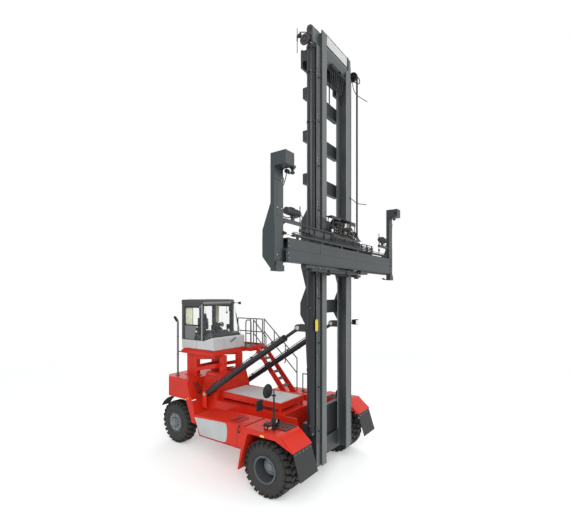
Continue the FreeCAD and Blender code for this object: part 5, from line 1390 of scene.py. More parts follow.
def makeUnit():
    # hydraulic unit between the columns: valve blocks, motor, coils and hoses under a thin hood
    low = spread["unitLow"]
    frame, dark, brass, hoses, pale = [], [], [], [], []
    dark.append(slab(-0.66, 0.60, -3.02, -2.85, low, low + 0.035, 0.004))
    for x, wide, tall in ((-0.56, 0.16, 0.20), (-0.34, 0.18, 0.26), (-0.06, 0.22, 0.22),
                          (0.22, 0.20, 0.26), (0.44, 0.14, 0.18)):
        dark.append(slab(x - wide / 2, x + wide / 2, -2.99, -2.865, low + 0.035, low + 0.035 + tall, 0.008))
        dark.append(slab(x - wide / 2 + 0.02, x + wide / 2 - 0.02, -3.012, -2.985, low + 0.07,
                         low + tall - 0.01, 0.006))
        for dz in (0.08, 0.15):
            brass += [post((x + dx, -3.01, low + dz), (x + dx, -3.04, low + dz), 0.014, 20, 0.003)
                      for dx in (-0.045, 0.045)]
        brass.append(post((x, -2.93, low + 0.03 + tall), (x, -2.93, low + 0.08 + tall), 0.018, 20, 0.003))
    dark.append(post((-0.50, -2.90, low + 0.36), (0.06, -2.90, low + 0.36), 0.075, 40, 0.012))
    for x in (-0.40, -0.22, -0.04):
        dark.append(lathe([(-0.012, 0.074), (-0.012, 0.084), (0.012, 0.084), (0.012, 0.074)],
                          (x, -2.90, low + 0.36), 40))
    pale += [
        post((0.10, -2.93, low + 0.27), (0.10, -2.93, low + 0.40), 0.055, 36, 0.012),
        ballAt((-0.02, -3.02, low + 0.14), 0.05, (1, 0.7, 0.8)),
        post((-0.72, -3.0, low + 0.05), (-0.72, -3.0, low + 0.13), 0.03, 28, 0.006),
    ]
    loops = [(-0.50, 0.21, -0.28, 0.30), (-0.30, 0.30, 0.02, 0.27), (0.02, 0.26, 0.40, 0.22),
             (-0.52, 0.14, 0.10, 0.10), (-0.10, 0.20, 0.30, 0.30), (0.26, 0.30, 0.55, 0.12)]
    for k, (x0, z0, x1, z1) in enumerate(loops):
        y = -3.035 - 0.012 * (k % 3)
        hoses.append(hose([(x0, y + 0.02, low + z0), (x0 + 0.02, y - 0.02, low + z0 - 0.05),
                           ((x0 + x1) / 2, y - 0.03, low + min(z0, z1) - 0.10),
                           (x1 - 0.02, y - 0.02, low + z1 - 0.05), (x1, y + 0.02, low + z1)], 0.013))
    for k in range(4):
        y = -2.90 - 0.022 * k
        hoses.append(hose([(0.50, y, low + 0.16), (0.64, y, low + 0.22 + 0.02 * k),
                           (0.84, y + 0.01, low + 0.16), (0.98, y + 0.01, low + 0.05),
                           (1.10, y + 0.02, low + 0.03)], 0.013))
    for x in (-0.70, 0.56):
        frame += [
            post((x, -2.87, low - 0.02), (x, -2.87, low + 0.46), 0.012, 16, 0.002),
            post((x, -3.01, low - 0.02), (x, -3.01, low + 0.43), 0.012, 16, 0.002),
            post((x, -2.86, low + 0.45), (x, -3.02, low + 0.42), 0.012, 16, 0.002),
        ]
    frame += slabs(
        (-0.80, 0.58, -3.03, -2.85, low + 0.455, low + 0.470),
        (-0.80, -0.30, -3.03, -3.02, low + 0.40, low + 0.462),
        (0.25, 0.58, -3.03, -3.02, low + 0.36, low + 0.462),
    )
    add("unit_blocks", dark, blackPlastic, "carriage")
    add("unit_fittings", brass, brassMetal, "carriage")
    add("unit_canisters", pale, zinc, "carriage")
    add("unit_hoses", hoses, hoseRubber, "carriage")
    add("unit_frame", frame, axlePaint, "carriage")

    # gussets, hose bracket and the pipes along the top of the beam
    plates = []
    for x in (0.30, 0.66):
        plates.append(flatShape([(x, 6.45), (x, 6.56), (x + 0.06, 6.56), (x + 0.30, 6.45)], "Y", -3.02,
                                -3.005, 0.003))
    plates += slabs(
        (0.695, 1.20, -2.905, -2.825, 6.365, 6.400, 0.004),
        (1.10, 1.20, -2.865, -2.80, 6.40, 6.43, 0.004),
        (-1.02, -0.70, -2.99, -2.90, 6.38, 6.42, 0.004),
        (-2.12, -0.70, -3.012, -3.0, 6.23, 6.425),
    )
    for x in (-2.05, -1.6, -1.15, -0.8):
        plates.append(slab(x - 0.012, x + 0.012, -3.04, -2.99, spread["top"], 6.43, 0.004))
    plates.append(slab(0.70, 1.75, -3.03, -3.012, spread["top"], 6.20))
    for x in (0.98, 1.35, 1.72):
        plates.append(slab(x - 0.010, x + 0.010, -3.05, -3.01, spread["top"], 6.38, 0.004))
    add("beam_brackets", plates, spreaderPaint, "carriage")

    lines = []
    for k in range(4):
        z = 6.245 + 0.042 * k
        lines.append(pipe([(-0.92 + 0.05 * k, -3.05, z), (0.86 - 0.03 * k, -3.05, z),
                           (1.05, -3.05, z - 0.05), (1.74, -3.06, z - 0.05)], 0.015, 0.06))
    lines += [
        post((-2.18, -3.02, 6.455), (-0.70, -3.02, 6.46), 0.024, 28, 0.004),
        post((0.98, -3.05, 6.385), (1.72, -3.05, 6.385), 0.012, 16, 0.002),
        pipe([(-2.15, -3.04, 6.33), (-1.5, -3.04, 6.28), (-0.95, -3.04, 6.29)], 0.016, 0.2),
        pipe([(-2.15, -3.045, 6.27), (-1.5, -3.045, 6.24), (-0.95, -3.05, 6.25)], 0.013, 0.2),
    ]
    add("beam_pipes", lines, axlePaint, "carriage")
    loops = []
    for k, x in enumerate((-0.86, -0.90, -1.30, 1.20, 1.52)):
        loops.append(hose([(x, -3.05, 6.25), (x - 0.03, -3.12, 6.32), (x - 0.06, -3.16, 6.24),
                           (x - 0.08, -3.14, 6.16), (x - 0.10, -3.10, 6.20)], 0.012))
    loops.append(hose([(-1.85, -3.02, 6.20), (-1.88, -3.06, 6.30), (-2.00, -3.09, 6.42),
                       (-2.08, -3.03, 6.44)], 0.012))
    add("beam_hose_loops", loops, hoseRubber, "carriage")
    clamps = [slab(x - 0.02, x + 0.02, -3.075, -3.025, 6.23, 6.40, 0.006) for x in (-0.62, -0.1, 0.4, 0.75)]
    add("beam_pipe_clamps", clamps, blackPlastic, "carriage")


def makePosts():
    for s, name in ((1, "left"), (-1, "right")):
        paintwork, dark, heads, glass = [], [], [], []
        # arm collar between the beam and the post
        z0, z1 = (5.84, 6.07) if s > 0 else (5.61, 5.84)
        paintwork.append(slab(s * 2.948, s * 2.982, -3.195, -3.0, z0 - 0.03, z1 + 0.03, 0.006))
        dark.append(slab(s * 2.93, s * 2.982, -3.185, -3.01, z0 - 0.005, z1 - 0.01, 0.006))
        # seams of the post, its foot step and stiffening bands
        paintwork += slabs(
            (s * 2.979, s * 3.274, -3.111, -3.103, 5.62, 6.44),
            (s * 2.979, s * 3.19, -3.111, -3.103, 6.50, 7.18),
            (s * 3.02, s * 3.24, -3.14, -3.10, 5.41, 5.60, 0.008),
        )
        for z in (5.402, 7.455):
            paintwork.append(slab(s * 2.972, s * 3.274, -3.118, -3.003, z, z + 0.02, 0.004))
        paintwork.append(slab(s * 3.262, s * 3.2745, -2.99, -2.80, 5.72, 6.10))
        add("post_plates_" + name, paintwork, spreaderPaint, "spreader_" + name)
        # head: cover plates, the side opening with its lens, and the lock below
        cover = [slab(s * 2.976, s * 2.981, -3.26, -3.03, 7.50, 7.70),
                 slab(s * 2.99, s * 3.262, -3.3795, -3.376, 7.495, 7.71, 0.0015),
                 slab(s * 2.99, s * 3.262, -3.35, -3.03, 7.7275, 7.7298, 0.001)]
        add("head_covers_" + name, cover, spreaderPaint, "spreader_" + name)
        dark.append(lathe([(0.0, 0.055), (0.006, 0.055), (0.006, 0.045), (0.0, 0.043), (0.0, 0.0)],
                          (s * 2.979, -3.325, 7.60), 40, -s))
        dark.append(slab(s * 2.972, s * 2.98, -3.376, -3.27, 7.52, 7.535, 0.002))
        glass.append(lathe([(0.0, 0.040), (0.004, 0.036), (0.008, 0.02), (0.009, 0.0)],
                           (s * 2.977, -3.325, 7.60), 32, -s))
        dark += [
            aimed([(0.0, 0.028), (0.0, 0.045), (0.022, 0.048), (0.036, 0.040), (0.05, 0.020),
                   (0.052, 0.0)], (s * 2.9265, -3.30, 7.395), 90, "Y", 36),
            aimed([(-0.012, 0.046), (-0.012, 0.036), (0.012, 0.036), (0.012, 0.046), (-0.012, 0.046)],
                  (s * 2.9265, -3.30, 7.458), 90, "Y", 36),
            slab(s * 2.87, s * 2.975, -3.20, -3.13, 7.40, 7.47, 0.010),
            slab(s * 2.885, s * 2.93, -3.215, -3.19, 7.37, 7.43, 0.006),
            pipe([(s * 2.93, -3.16, 7.40), (s * 2.93, -3.12, 7.25), (s * 2.965, -3.07, 7.10),
                  (s * 2.965, -3.05, 6.55)], 0.010, 0.05),
        ]
        heads += bolts([(s * 3.02, -3.376, z) for z in (7.52, 7.68)]
                       + [(s * 3.23, -3.376, z) for z in (7.52, 7.68)], (0, -1, 0), 0.009, 0.003)
        heads += bolts([(s * 3.19, -3.111, 6.66), (s * 3.19, -3.111, 5.72), (s * 3.05, -3.111, 7.22),
                        (s * 3.05, -3.111, 6.66)], (0, -1, 0), 0.014, 0.010)
        heads += bolts([(s * 2.98, y, z) for y in (-3.08, -3.04) for z in (5.55, 6.0)], (-s, 0, 0), 0.010,
                       0.008)
        # post lamp: fins, end caps, bracket, plug; a slim pole on the arm's end
        y, z = -3.0425, 6.68
        lowX = 2.33
        for i in range(6):
            x = s * (lowX + 0.075 + 0.06 * i)
            dark.append(lathe([(-0.006, 0.074), (-0.006, 0.083), (0.006, 0.083), (0.006, 0.074)],
                              (x, y, z), 36))
        dark += [
            lathe([(0.0, 0.060), (0.035, 0.058), (0.045, 0.045), (0.045, 0.0)], (s * (lowX + 0.002), y, z),
                  36, -s),
            lathe([(0.0, 0.078), (0.012, 0.078), (0.020, 0.066), (0.020, 0.0)], (s * 2.778, y, z), 36, s),
            slab(s * 2.42, s * 2.52, y - 0.05, y + 0.03, z - 0.11, z - 0.06, 0.006),
            slab(s * 2.50, s * 2.66, y - 0.03, y + 0.03, z + 0.06, z + 0.10, 0.010),
            post((s * 2.265, y, 6.20), (s * 2.265, y, 6.86), 0.011, 20, 0.002),
            ballAt((s * 2.265, y, 6.47), 0.032),
            slab(s * 2.24, s * 2.29, y - 0.03, y + 0.02, 6.30, 6.36, 0.006),
            hose([(s * 2.60, y, z - 0.06), (s * 2.66, y - 0.03, z - 0.13), (s * 2.80, y - 0.02, z - 0.16),
                  (s * 2.93, y - 0.01, z - 0.14), (s * 2.975, y, z - 0.05)], 0.011),
            hose([(s * 2.34, y - 0.02, z), (s * 2.24, y - 0.04, z - 0.02), (s * 2.20, y - 0.03, z - 0.12),
                  (s * 2.255, y - 0.02, z - 0.22)], 0.011),
        ]
        if s > 0:
            dark.append(slab(2.62, 2.985, -3.07, -3.04, 5.402, 5.43, 0.004))
            dark.append(slab(2.56, 2.66, -3.075, -3.035, 5.402, 5.46, 0.004))
        add("post_fittings_" + name, dark, axlePaint, "spreader_" + name)
        add("post_bolts_" + name, heads, zinc, "spreader_" + name)
        add("head_lens_" + name, glass, blackPlastic, "spreader_" + name)
        arm = [flatShape([(s * 2.98, 6.43), (s * 2.98, 6.30), (s * 2.80, 6.43)], "Y", -3.05, -3.035,
                         0.003), slab(s * 2.955, s * 2.981, -3.085, -3.005, 6.38, 6.56, 0.004)]
        add("post_arm_gussets_" + name, arm, spreaderPaint, "spreader_" + name)


def makeCarriage():
    plates, pads, heads = [], [], []
    for side in (1, -1):
        for z in (5.87, 6.52):
            plates.append(lathe([(0.0, 0.05), (0.010, 0.05), (0.014, 0.042), (0.014, 0.0)],
                                (side * 0.52, -2.61, z), 32, -side))
        plates.append(slab(side * 0.50, side * 0.52, -2.80, -2.52, 6.60, 6.64, 0.004))
        plates.append(slab(side * 0.50, side * 0.52, -2.80, -2.52, 5.44, 5.48, 0.004))
        heads += bolts([(side * 0.445, -3.025, z) for z in (5.65, 5.75, 5.98, 6.08)], (0, -1, 0), 0.012,
                       0.009)
    plates.append(slab(-0.70, 0.70, -3.03, -3.02, 6.44, 6.452, 0.002))
    pads += [slab(x - 0.05, x + 0.05, -3.10, -3.03, 6.082, 6.15, 0.006) for x in (-0.62, -0.36, 0.36, 0.62)]
    add("carriage_caps", plates, spreaderPaint, "carriage")
    add("carriage_bolts", heads, zinc, "carriage")
    add("carriage_pads", pads, darkPlastic, "carriage")


def makeWhip():
    # a loose hose end beside the far column
    whip = hose([(0.80, -2.765, 7.71), (0.92, -2.775, 7.70), (1.06, -2.785, 7.655), (1.28, -2.79, 7.64),
                 (1.60, -2.79, 7.69), (1.87, -2.79, 7.73)], 0.011)
    root = block((0.765, -2.775, 7.68), (0.80, -2.757, 7.74))
    add("column_whip", [whip, root], hoseRubber, "inner_mast")


makeBeam()
makeSlideCylinders()
makeUnit()
makePosts()
makeCarriage()
makeWhip()
print("carriage and spreader detailed")


cab = {
    "half": 0.73,
    "floor": 3.18,
    "band": 3.40,
    "head": 4.60,
    "padVoxel": 0.0075,
    "padPressure": 4.0,
    "padCap": 0.010,
    "padFrames": 20,
}


def screenY(z):
    # how far back the windscreen lies at a height
    return 1.36 + 0.33 * (z - 3.40)


def outlineRing(corners, radius, bend=0.05):
    return pipe(corners, radius, bend, 3, True)


def makeCabShell():
    h, band, head = cab["half"], cab["band"], cab["head"]
    seals, frames, light, grey, red, cream, edges = [], [], [], [], [], [], []
    # right side: window frame above a closed lower panel
    x = -h + 0.006
    seals.append(outlineRing([(x, 1.925, 3.90), (x, 2.655, 3.90), (x, 2.655, 4.50), (x, 1.925, 4.50)],
                             0.020, 0.09))
    seals.append(outlineRing([(x + 0.004, 1.90, 3.425), (x + 0.004, 2.67, 3.425), (x + 0.004, 2.67, 4.53),
                              (x + 0.004, 1.90, 4.53)], 0.012, 0.05))
    grey.append(flatShape([(2.20, band + 0.004), (2.68, band + 0.004), (2.68, 3.885), (2.10, 3.885)], "X",
                          -h + 0.002, -h + 0.014))
    seals.append(slab(-h + 0.006, -h + 0.02, 1.885, 2.12, 3.862, 3.885, 0.004))
    seals.append(slab(-h + 0.012, -h + 0.02, 2.272, 2.288, 3.90, 4.50, 0.002))
    cream.append(slab(-0.690, -0.684, 2.30, 2.645, 3.92, 4.50, 0.002))
    cream.append(slab(0.640, 0.646, 2.44, 2.60, 3.92, 4.52, 0.002))
    light.append(slab(-h - 0.004, -h + 0.002, 1.79, 1.862, band + 0.01, head - 0.01))
    light.append(slab(-h - 0.002, h, 1.744, 1.752, head + 0.015, head + 0.08))
    # rear window, windscreen and quarter lights
    y = 2.80
    seals.append(outlineRing([(-0.66, y, 3.565), (0.66, y, 3.565), (0.66, y, 4.51), (-0.66, y, 4.51)],
                             0.014, 0.06))
    lower, upper = band + 0.012, head - 0.012
    for side in (1, -1):
        s = side * 0.702
        edges.append(pipe([(s, screenY(lower) - 0.002, lower), (s, screenY(upper) - 0.002, upper)], 0.005,
                          0.02))
        seals.append(pipe([(side * 0.718, screenY(lower) + 0.03, lower), (side * 0.718, 1.772, lower)],
                          0.006, 0.04))
    seals.append(pipe([(-0.70, screenY(lower) - 0.004, lower), (0.70, screenY(lower) - 0.004, lower)],
                      0.010, 0.02))
    edges.append(pipe([(-0.70, screenY(upper) - 0.004, upper), (0.70, screenY(upper) - 0.004, upper)],
                      0.005, 0.02))
    add("window_seals", seals, sealRubber)
    add("glass_edges", edges, edgeGrey)
    add("cab_side_panel", grey, panelDark)
    add("window_blinds", cream, blindCream)
    add("cab_light_strips", light, stripGrey)

    # roof: raised panel, gutter, front visor and a work lamp on an arm
    roof = [slab(-0.60, 0.60, 1.86, 2.74, 4.742, 4.758, 0.005)]
    for side in (1, -1):
        roof.append(slab(side * 0.729, side * 0.738, 1.80, 2.83, head + 0.004, head + 0.022))
    roof.append(slab(-0.728, 0.728, 1.738, 1.752, head - 0.002, head + 0.018, 0.004))
    frames.append(pipe([(0.60, 1.76, 4.64), (0.66, 1.70, 4.632), (0.80, 1.64, 4.625)], 0.010, 0.03))
    frames.append(slab(0.56, 0.63, 1.735, 1.765, 4.615, 4.665, 0.004))
    lamp = lathe([(-0.045, 0.0), (-0.045, 0.034), (-0.03, 0.046), (0.02, 0.050), (0.035, 0.052),
                  (0.035, 0.046), (0.028, 0.0)], (0, 0, 0), 36)
    swing = Matrix.Rotation(math.radians(-70), 4, "Z") @ Matrix.Rotation(math.radians(10), 4, "Y")
    lamp.data.transform(Matrix.Translation((0.86, 1.615, 4.622)) @ swing)
    frames.append(lamp)
    frames.append(slab(0.81, 0.86, 1.62, 1.66, 4.60, 4.64, 0.006))
    add("roof_panels", roof, cabPaint)
    add("roof_lamp", frames, blackPlastic)

    # wiper, grab handle, corner speaker, inner mirror and hinge covers
    trim = []
    top, low = Vector((0.66, screenY(4.28) - 0.03, 4.28)), Vector((0.62, screenY(3.72) - 0.03, 3.72))
    trim += [
        post(low, top, 0.012, 12, 0.003),
        post(low + (top - low) * 0.30, low + (top - low) * 0.62, 0.022, 16, 0.006),
        pipe([(0.50, screenY(3.44) - 0.03, 3.44), (0.56, screenY(3.6) - 0.035, 3.60),
              low + (top - low) * 0.45], 0.010, 0.05),
        post((0.50, screenY(3.44) - 0.045, 3.44), (0.50, screenY(3.44) + 0.01, 3.44), 0.024, 24, 0.004),
        pipe([(0.26, 1.275, 3.47), (0.24, 1.235, 3.46), (0.05, 1.235, 3.36), (0.02, 1.272, 3.35)], 0.014,
             0.03),
        post((0.60, 1.83, 4.34), (0.60, 1.83, 4.56), 0.050, 32, 0.012),
        slab(0.38, 0.44, 1.80, 1.82, 4.26, 4.33, 0.008),
        pipe([(0.41, 1.81, 4.33), (0.41, 1.82, 4.50), (0.41, 1.84, 4.60)], 0.007, 0.03),
    ]
    add("cab_trim", trim, blackPlastic)

    # kerb under the floor, seams of the base
    red += [slab(side * 0.700, side * 0.735, 1.262, 2.76, 3.058, 3.108, 0.004) for side in (1, -1)]
    red.append(slab(-0.735, 0.735, 1.252, 1.285, 3.058, 3.108, 0.004))
    add("platform_kerb", red, redPaint)
    seams = [slab(-h - 0.0015, -h + 0.004, 2.084, 2.092, 3.125, 3.396, 0.001),
             slab(-0.274, -0.266, 1.2685, 1.275, 3.125, 3.475, 0.001),
             slab(-h - 0.0015, -h + 0.004, 1.29, 2.81, 3.121, 3.128, 0.001)]
    add("cab_base_seams", seams, sealRubber)
    heads = bolts([(-h, y, 3.15) for y in (1.45, 1.9, 2.3, 2.7)], (-1, 0, 0), 0.009, 0.005)
    add("cab_base_bolts", heads, zinc)


def makeCabInside():
    floor = cab["floor"]
    dash, mat = [], []
    dash.append(flatShape([(1.352, 3.41), (1.372, 3.52), (1.43, 3.60), (1.56, 3.645), (1.66, 3.64),
                           (1.70, 3.58), (1.66, 3.41)], "X", -0.655, 0.655, 0.01))
    dash.append(flatShape([(1.50, 3.63), (1.55, 3.72), (1.64, 3.73), (1.68, 3.62)], "X", -0.22, 0.22, 0.012))
    for side in (1, -1):
        reach = 1.86 if side > 0 else 2.66
        dash.append(slab(side * 0.50, side * 0.655, 1.66, reach, floor, 3.56, 0.02))
    dash += slabs(
        (-0.47, -0.31, 2.06, 2.46, 3.68, 3.80, 0.03),
        (-0.44, -0.34, 2.20, 2.40, floor, 3.70, 0.015),
        (0.29, 0.40, 2.12, 2.50, 3.76, 3.82, 0.02),
        (0.31, 0.38, 2.42, 2.50, 3.60, 3.78, 0.01),
        (-0.20, 0.20, 2.12, 2.48, 3.53, 3.545, 0.004),
        (-0.19, 0.19, 2.615, 2.645, 3.50, 4.10, 0.03),
        (-0.10, 0.10, 2.60, 2.64, 3.20, 3.60, 0.01),
    )
    add("dashboard", dash, darkPlastic)
    stick = [post((-0.39, 2.10, 3.79), (-0.39, 2.09, 3.90), 0.010, 16, 0.002),
             ballAt((-0.39, 2.087, 3.93), 0.032, (1, 1, 1.35))]
    stick += [post((-0.43 + 0.028 * k, 2.20, 3.80), (-0.43 + 0.028 * k, 2.195, 3.835), 0.007, 12, 0.002)
              for k in range(4)]
    stick += [
        ringOf((0, 1.827, 3.894), (0, -0.14, 1), 0.186, 0.019),
        aimed([(-0.01, 0.0), (-0.01, 0.050), (0.012, 0.046), (0.022, 0.02), (0.022, 0.0)],
              (0, 1.826, 3.90), -90, "Y", 32),
        ballAt((0.13, 1.70, 3.92), 0.022),
        pipe([(0.04, 1.77, 3.80), (0.14, 1.75, 3.82), (0.20, 1.76, 3.83)], 0.008, 0.02),
        pipe([(-0.04, 1.77, 3.78), (-0.14, 1.75, 3.80), (-0.20, 1.76, 3.81)], 0.008, 0.02),
        flatShape([(1.66, 3.18), (1.66, 3.70), (1.70, 3.78), (1.80, 3.80), (1.83, 3.72), (1.83, 3.18)],
                  "X", -0.085, 0.085, 0.02),
    ]
    add("steering_parts", stick, blackPlastic)
    mat.append(slab(-0.48, 0.66, 1.36, 2.66, floor - 0.002, floor + 0.012, 0.004))
    for i in range(8):
        mat.append(slab(-0.42, 0.62, 1.88 + 0.045 * i, 1.892 + 0.045 * i, floor + 0.010, floor + 0.018,
                        0.002))
    add("cab_mat", mat, sealRubber)
    pedals = [slab(x, x + 0.09, 1.50, 1.52, floor + 0.06, floor + 0.20, 0.006) for x in (-0.26, 0.16)]
    pedals += [post((x + 0.045, 1.51, floor + 0.08), (x + 0.045, 1.44, floor + 0.02), 0.010, 12, 0.002)
               for x in (-0.26, 0.16)]
    add("pedals", pedals, zinc)
    case = slab(0.27, 0.50, 1.66, 1.70, 3.72, 3.90, 0.012)
    arm = pipe([(0.38, 1.62, 3.62), (0.38, 1.64, 3.70), (0.38, 1.67, 3.76)], 0.012, 0.02)
    add("cab_screen_case", [case, arm], blackPlastic)
    add("cab_screen_face", [slab(0.285, 0.485, 1.698, 1.703, 3.735, 3.885, 0.002)], panelGrey)
    bellows = []
    for i in range(7):
        z = 3.20 + 0.045 * i
        bellows.append(slab(-0.165, 0.165, 2.145, 2.455, z, z + 0.024, 0.010))
        bellows.append(slab(-0.150, 0.150, 2.160, 2.440, z + 0.02, z + 0.048, 0.004))
    add("seat_bellows", bellows, sealRubber)


def makePad(start):
    # a closed pad swollen by cloth simulation; each point moves at most the cap
    only(start)
    remesh = start.modifiers.new("grain", "REMESH")
    remesh.mode = "VOXEL"
    remesh.voxel_size = cab["padVoxel"]
    applyAll(start)
    mesh = start.data
    before = [vertex.co.copy() for vertex in mesh.vertices]
    cloth = start.modifiers.new("swell", "CLOTH")
    cloth.settings.use_pressure = True
    cloth.settings.uniform_pressure_force = cab["padPressure"]
    cloth.settings.effector_weights.gravity = 0
    cloth.settings.quality = 4
    cloth.point_cache.frame_start = 1
    cloth.point_cache.frame_end = cab["padFrames"]
    for i in range(cab["padFrames"]):
        bpy.context.scene.frame_set(i + 1)
    result = start.evaluated_get(bpy.context.evaluated_depsgraph_get())
    after = [vertex.co.copy() for vertex in result.data.vertices]
    start.modifiers.remove(cloth)
    bpy.context.scene.frame_set(1)
    for vertex, old, new in zip(mesh.vertices, before, after):
        move = new - old
        if move.length > cab["padCap"]:
            move *= cab["padCap"] / move.length
        vertex.co = old + move
    return start


def sewn(pad, lines, depth, width):
    # channels: each line is (axis, place, face axis, face sign)
    for vertex in pad.data.vertices:
        for axis, place, face, sign in lines:
            near = abs(vertex.co[axis] - place) / width
            if near < 3 and vertex.normal[face] * sign > 0.35:
                vertex.co[face] -= sign * depth * math.exp(-near * near * 1.5)
    pad.data.update()
    only(pad)
    rounder = pad.modifiers.new("rounder", "SUBSURF")
    rounder.levels = 1
    rounder.render_levels = 1
    applyAll(pad)
    smooth(pad, 60)
    return pad


def makeSeat():
    cushion = block((-0.238, 2.092, 3.550), (0.238, 2.568, 3.650), 0.038, 4)
    makePad(cushion)
    sewn(cushion, [(0, -0.15, 2, 1), (0, 0.15, 2, 1), (1, 2.18, 2, 1), (1, 2.33, 2, 1), (1, 2.46, 2, 1)],
         0.007, 0.009)
    back = flatShape([(-0.218, 3.675), (0.218, 3.675), (0.226, 3.90), (0.205, 4.06), (0.135, 4.115),
                      (0.130, 4.135), (0.125, 4.235), (0.09, 4.258), (-0.09, 4.258), (-0.125, 4.235),
                      (-0.130, 4.135), (-0.135, 4.115), (-0.205, 4.06), (-0.226, 3.90)], "Y", 2.512, 2.606,
                     0.028)
    makePad(back)
    sewn(back, [(0, -0.14, 1, -1), (0, 0.14, 1, -1), (2, 3.80, 1, -1), (2, 3.95, 1, -1), (2, 4.11, 1, -1)],
         0.007, 0.009)
    for pad, name in ((cushion, "seat_pad"), (back, "seat_back_pad")):
        add(name, [pad], seatCloth)
    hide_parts("seat_cushion")


def makeDoor():
    x = cab["half"] + 0.002
    seals = [outlineRing([(x, 1.955, 3.545), (x, 2.605, 3.545), (x, 2.605, 4.505), (x, 1.955, 4.505)],
                         0.013, 0.06)]
    add("door_seal", seals, sealRubber, "cab_door")
    fittings = [
        pipe([(x, 1.925, 3.62), (x + 0.045, 1.925, 3.62), (x + 0.045, 1.925, 4.20), (x, 1.925, 4.20)],
             0.011, 0.03),
        slab(x - 0.002, x + 0.03, 1.90, 2.05, 3.44, 3.48, 0.008),
        slab(x - 0.001, x + 0.008, 1.89, 2.06, 3.42, 3.50, 0.004),
    ]
    add("door_handle", fittings, blackPlastic, "cab_door")


mirror = {
    "x": -1.90,
    "postY": -2.045,
    "roundZ": 2.56,          # height of the round glass
}


def makeMirrors():
    black, glass, arms = [], [], []
    x, y, z = mirror["x"], mirror["postY"], mirror["roundZ"]
    black.append(aimed([(0.0, 0.165), (-0.010, 0.167), (-0.028, 0.150), (-0.045, 0.105), (-0.052, 0.05),
                        (-0.053, 0.0)], (x, -1.858, z), 90, "Z", 56))
    black.append(ringOf((x, -1.847, z), (0, 1, 0), 0.162, 0.014))
    glass.append(post((x, -1.836, z), (x, -1.830, z), 0.150, 56, 0.001))
    black.append(slab(x - 0.105, x + 0.105, -1.622, -1.598, 2.035, 2.295, 0.018))
    black.append(slab(x - 0.07, x + 0.07, -1.634, -1.618, 2.07, 2.26, 0.010))
    glass.append(slab(x - 0.098, x + 0.098, -1.577, -1.571, 2.045, 2.285, 0.001))
    arms.append(post((x, y, 1.63), (x, y, 2.12), 0.030, 28, 0.006))
    arms.append(post((x, y, 2.12), (x, y, 2.44), 0.021, 24, 0.004))
    arms += [slab(x - 0.036, x + 0.036, y - 0.036, y + 0.036, low, low + 0.045, 0.006)
             for low in (1.66, 2.12, 2.46)]
    arms.append(post((x, -1.925, z), (x, -1.88, z), 0.020, 16, 0.002))
    add("mirror_shells", black, blackPlastic)
    add("mirror_faces", glass, mirrorGlass)
    add("mirror_arms", arms, blackPlastic)


lamps = {
    "roundX": 1.69,
    "roundZ": 1.765,
    "squareX": 1.93,
}


def makeLamps():
    rims, lenses, amber, faces, red = [], [], [], [], []
    for side in (1, -1):
        c = side * lamps["roundX"]
        rims.append(aimed([(0.0, 0.085), (-0.012, 0.088), (-0.016, 0.080), (-0.006, 0.074), (0.0, 0.074)],
                          (c, -1.988, lamps["roundZ"]), 90, "Z", 48))
        faces.append(aimed([(0.0, 0.074), (-0.008, 0.060), (-0.013, 0.03), (-0.014, 0.0)],
                           (c, -1.989, lamps["roundZ"]), 90, "Z", 48))
        rims.append(slab(c - 0.03, c + 0.03, -1.95, -1.88, 1.66, 1.69, 0.004))
        rims += [slab(c - 0.10, c - 0.086, -1.94, -1.88, 1.66, 1.78),
                 slab(c + 0.086, c + 0.10, -1.94, -1.88, 1.66, 1.78)]
        k = side * lamps["squareX"]
        rims.append(slab(k - 0.078, k + 0.078, -1.946, -1.938, 1.648, 1.792, 0.004))
        amber.append(slab(k - 0.066, k + 0.066, -1.954, -1.944, 1.654, 1.664))
        red.append(slab(k - 0.045, k + 0.066, -1.954, -1.944, 1.715, 1.780, 0.006))
        rims.append(post((side * 1.76, -1.900, 1.742), (side * 2.008, -1.900, 1.742), 0.058, 28, 0.02))
        lenses.append(slab(k - 0.060, k + 0.060, -1.952, -1.944, 1.670, 1.705, 0.006))
        red.append(slab(side * 2.008, side * 2.016, -1.915, -1.855, 1.675, 1.725, 0.002))
        rims.append(slab(side * 2.008, side * 2.012, -1.93, -1.83, 1.66, 1.78, 0.002))
    add("lamp_rims", rims, blackPlastic)
    add("lamp_lenses", lenses, lampGlass)
    add("lamp_amber", amber, amberLens)
    add("lamp_red", red, redLens)
    add("lamp_faces", faces, mirrorGlass)
    face = [slab(1.185, 1.315, -2.766, -2.759, 4.045, 4.165)]
    hood = [slab(1.165, 1.335, -2.772, -2.70, 4.170, 4.186), slab(1.165, 1.335, -2.764, -2.756, 4.03, 4.045)]
    hood += [slab(1.18 + 0.03 * i, 1.19 + 0.03 * i, -2.645, -2.622, 4.04, 4.17, 0.002) for i in range(5)]
    add("mast_lamp_face", face, lampGlass, "outer_mast")
    add("mast_lamp_hood", hood, blackPlastic, "outer_mast")


exhaust = {
    "x": -0.95,
    "y": 2.76,
}


def makeExhaust():
    x, y = exhaust["x"], exhaust["y"]
    tip = [post((x, 2.79, 4.03), (x, 2.925, 4.165), 0.047, 32, 0.006),
           post((x, 2.918, 4.158), (x, 2.930, 4.170), 0.040, 32, 0.002)]
    add("exhaust_tip", tip, blackPlastic)
    guard = [post((x, y, z), (x, y, z + 0.03), 0.040, 32, 0.003) for z in (2.24, 2.9, 3.5)]
    guard.append(post((x, y, 2.20), (x, y, 2.215), 0.075, 32, 0.003))
    guard += around(boltHead((x + 0.058, y, 2.215), (0, 0, 1), 0.008, 0.008), 4, (x, y, 0), "Z")
    guard.append(slab(x, x + 0.22, 2.745, 2.775, 2.98, 3.01, 0.004))
    add("exhaust_clamps", guard, exhaustMetal)


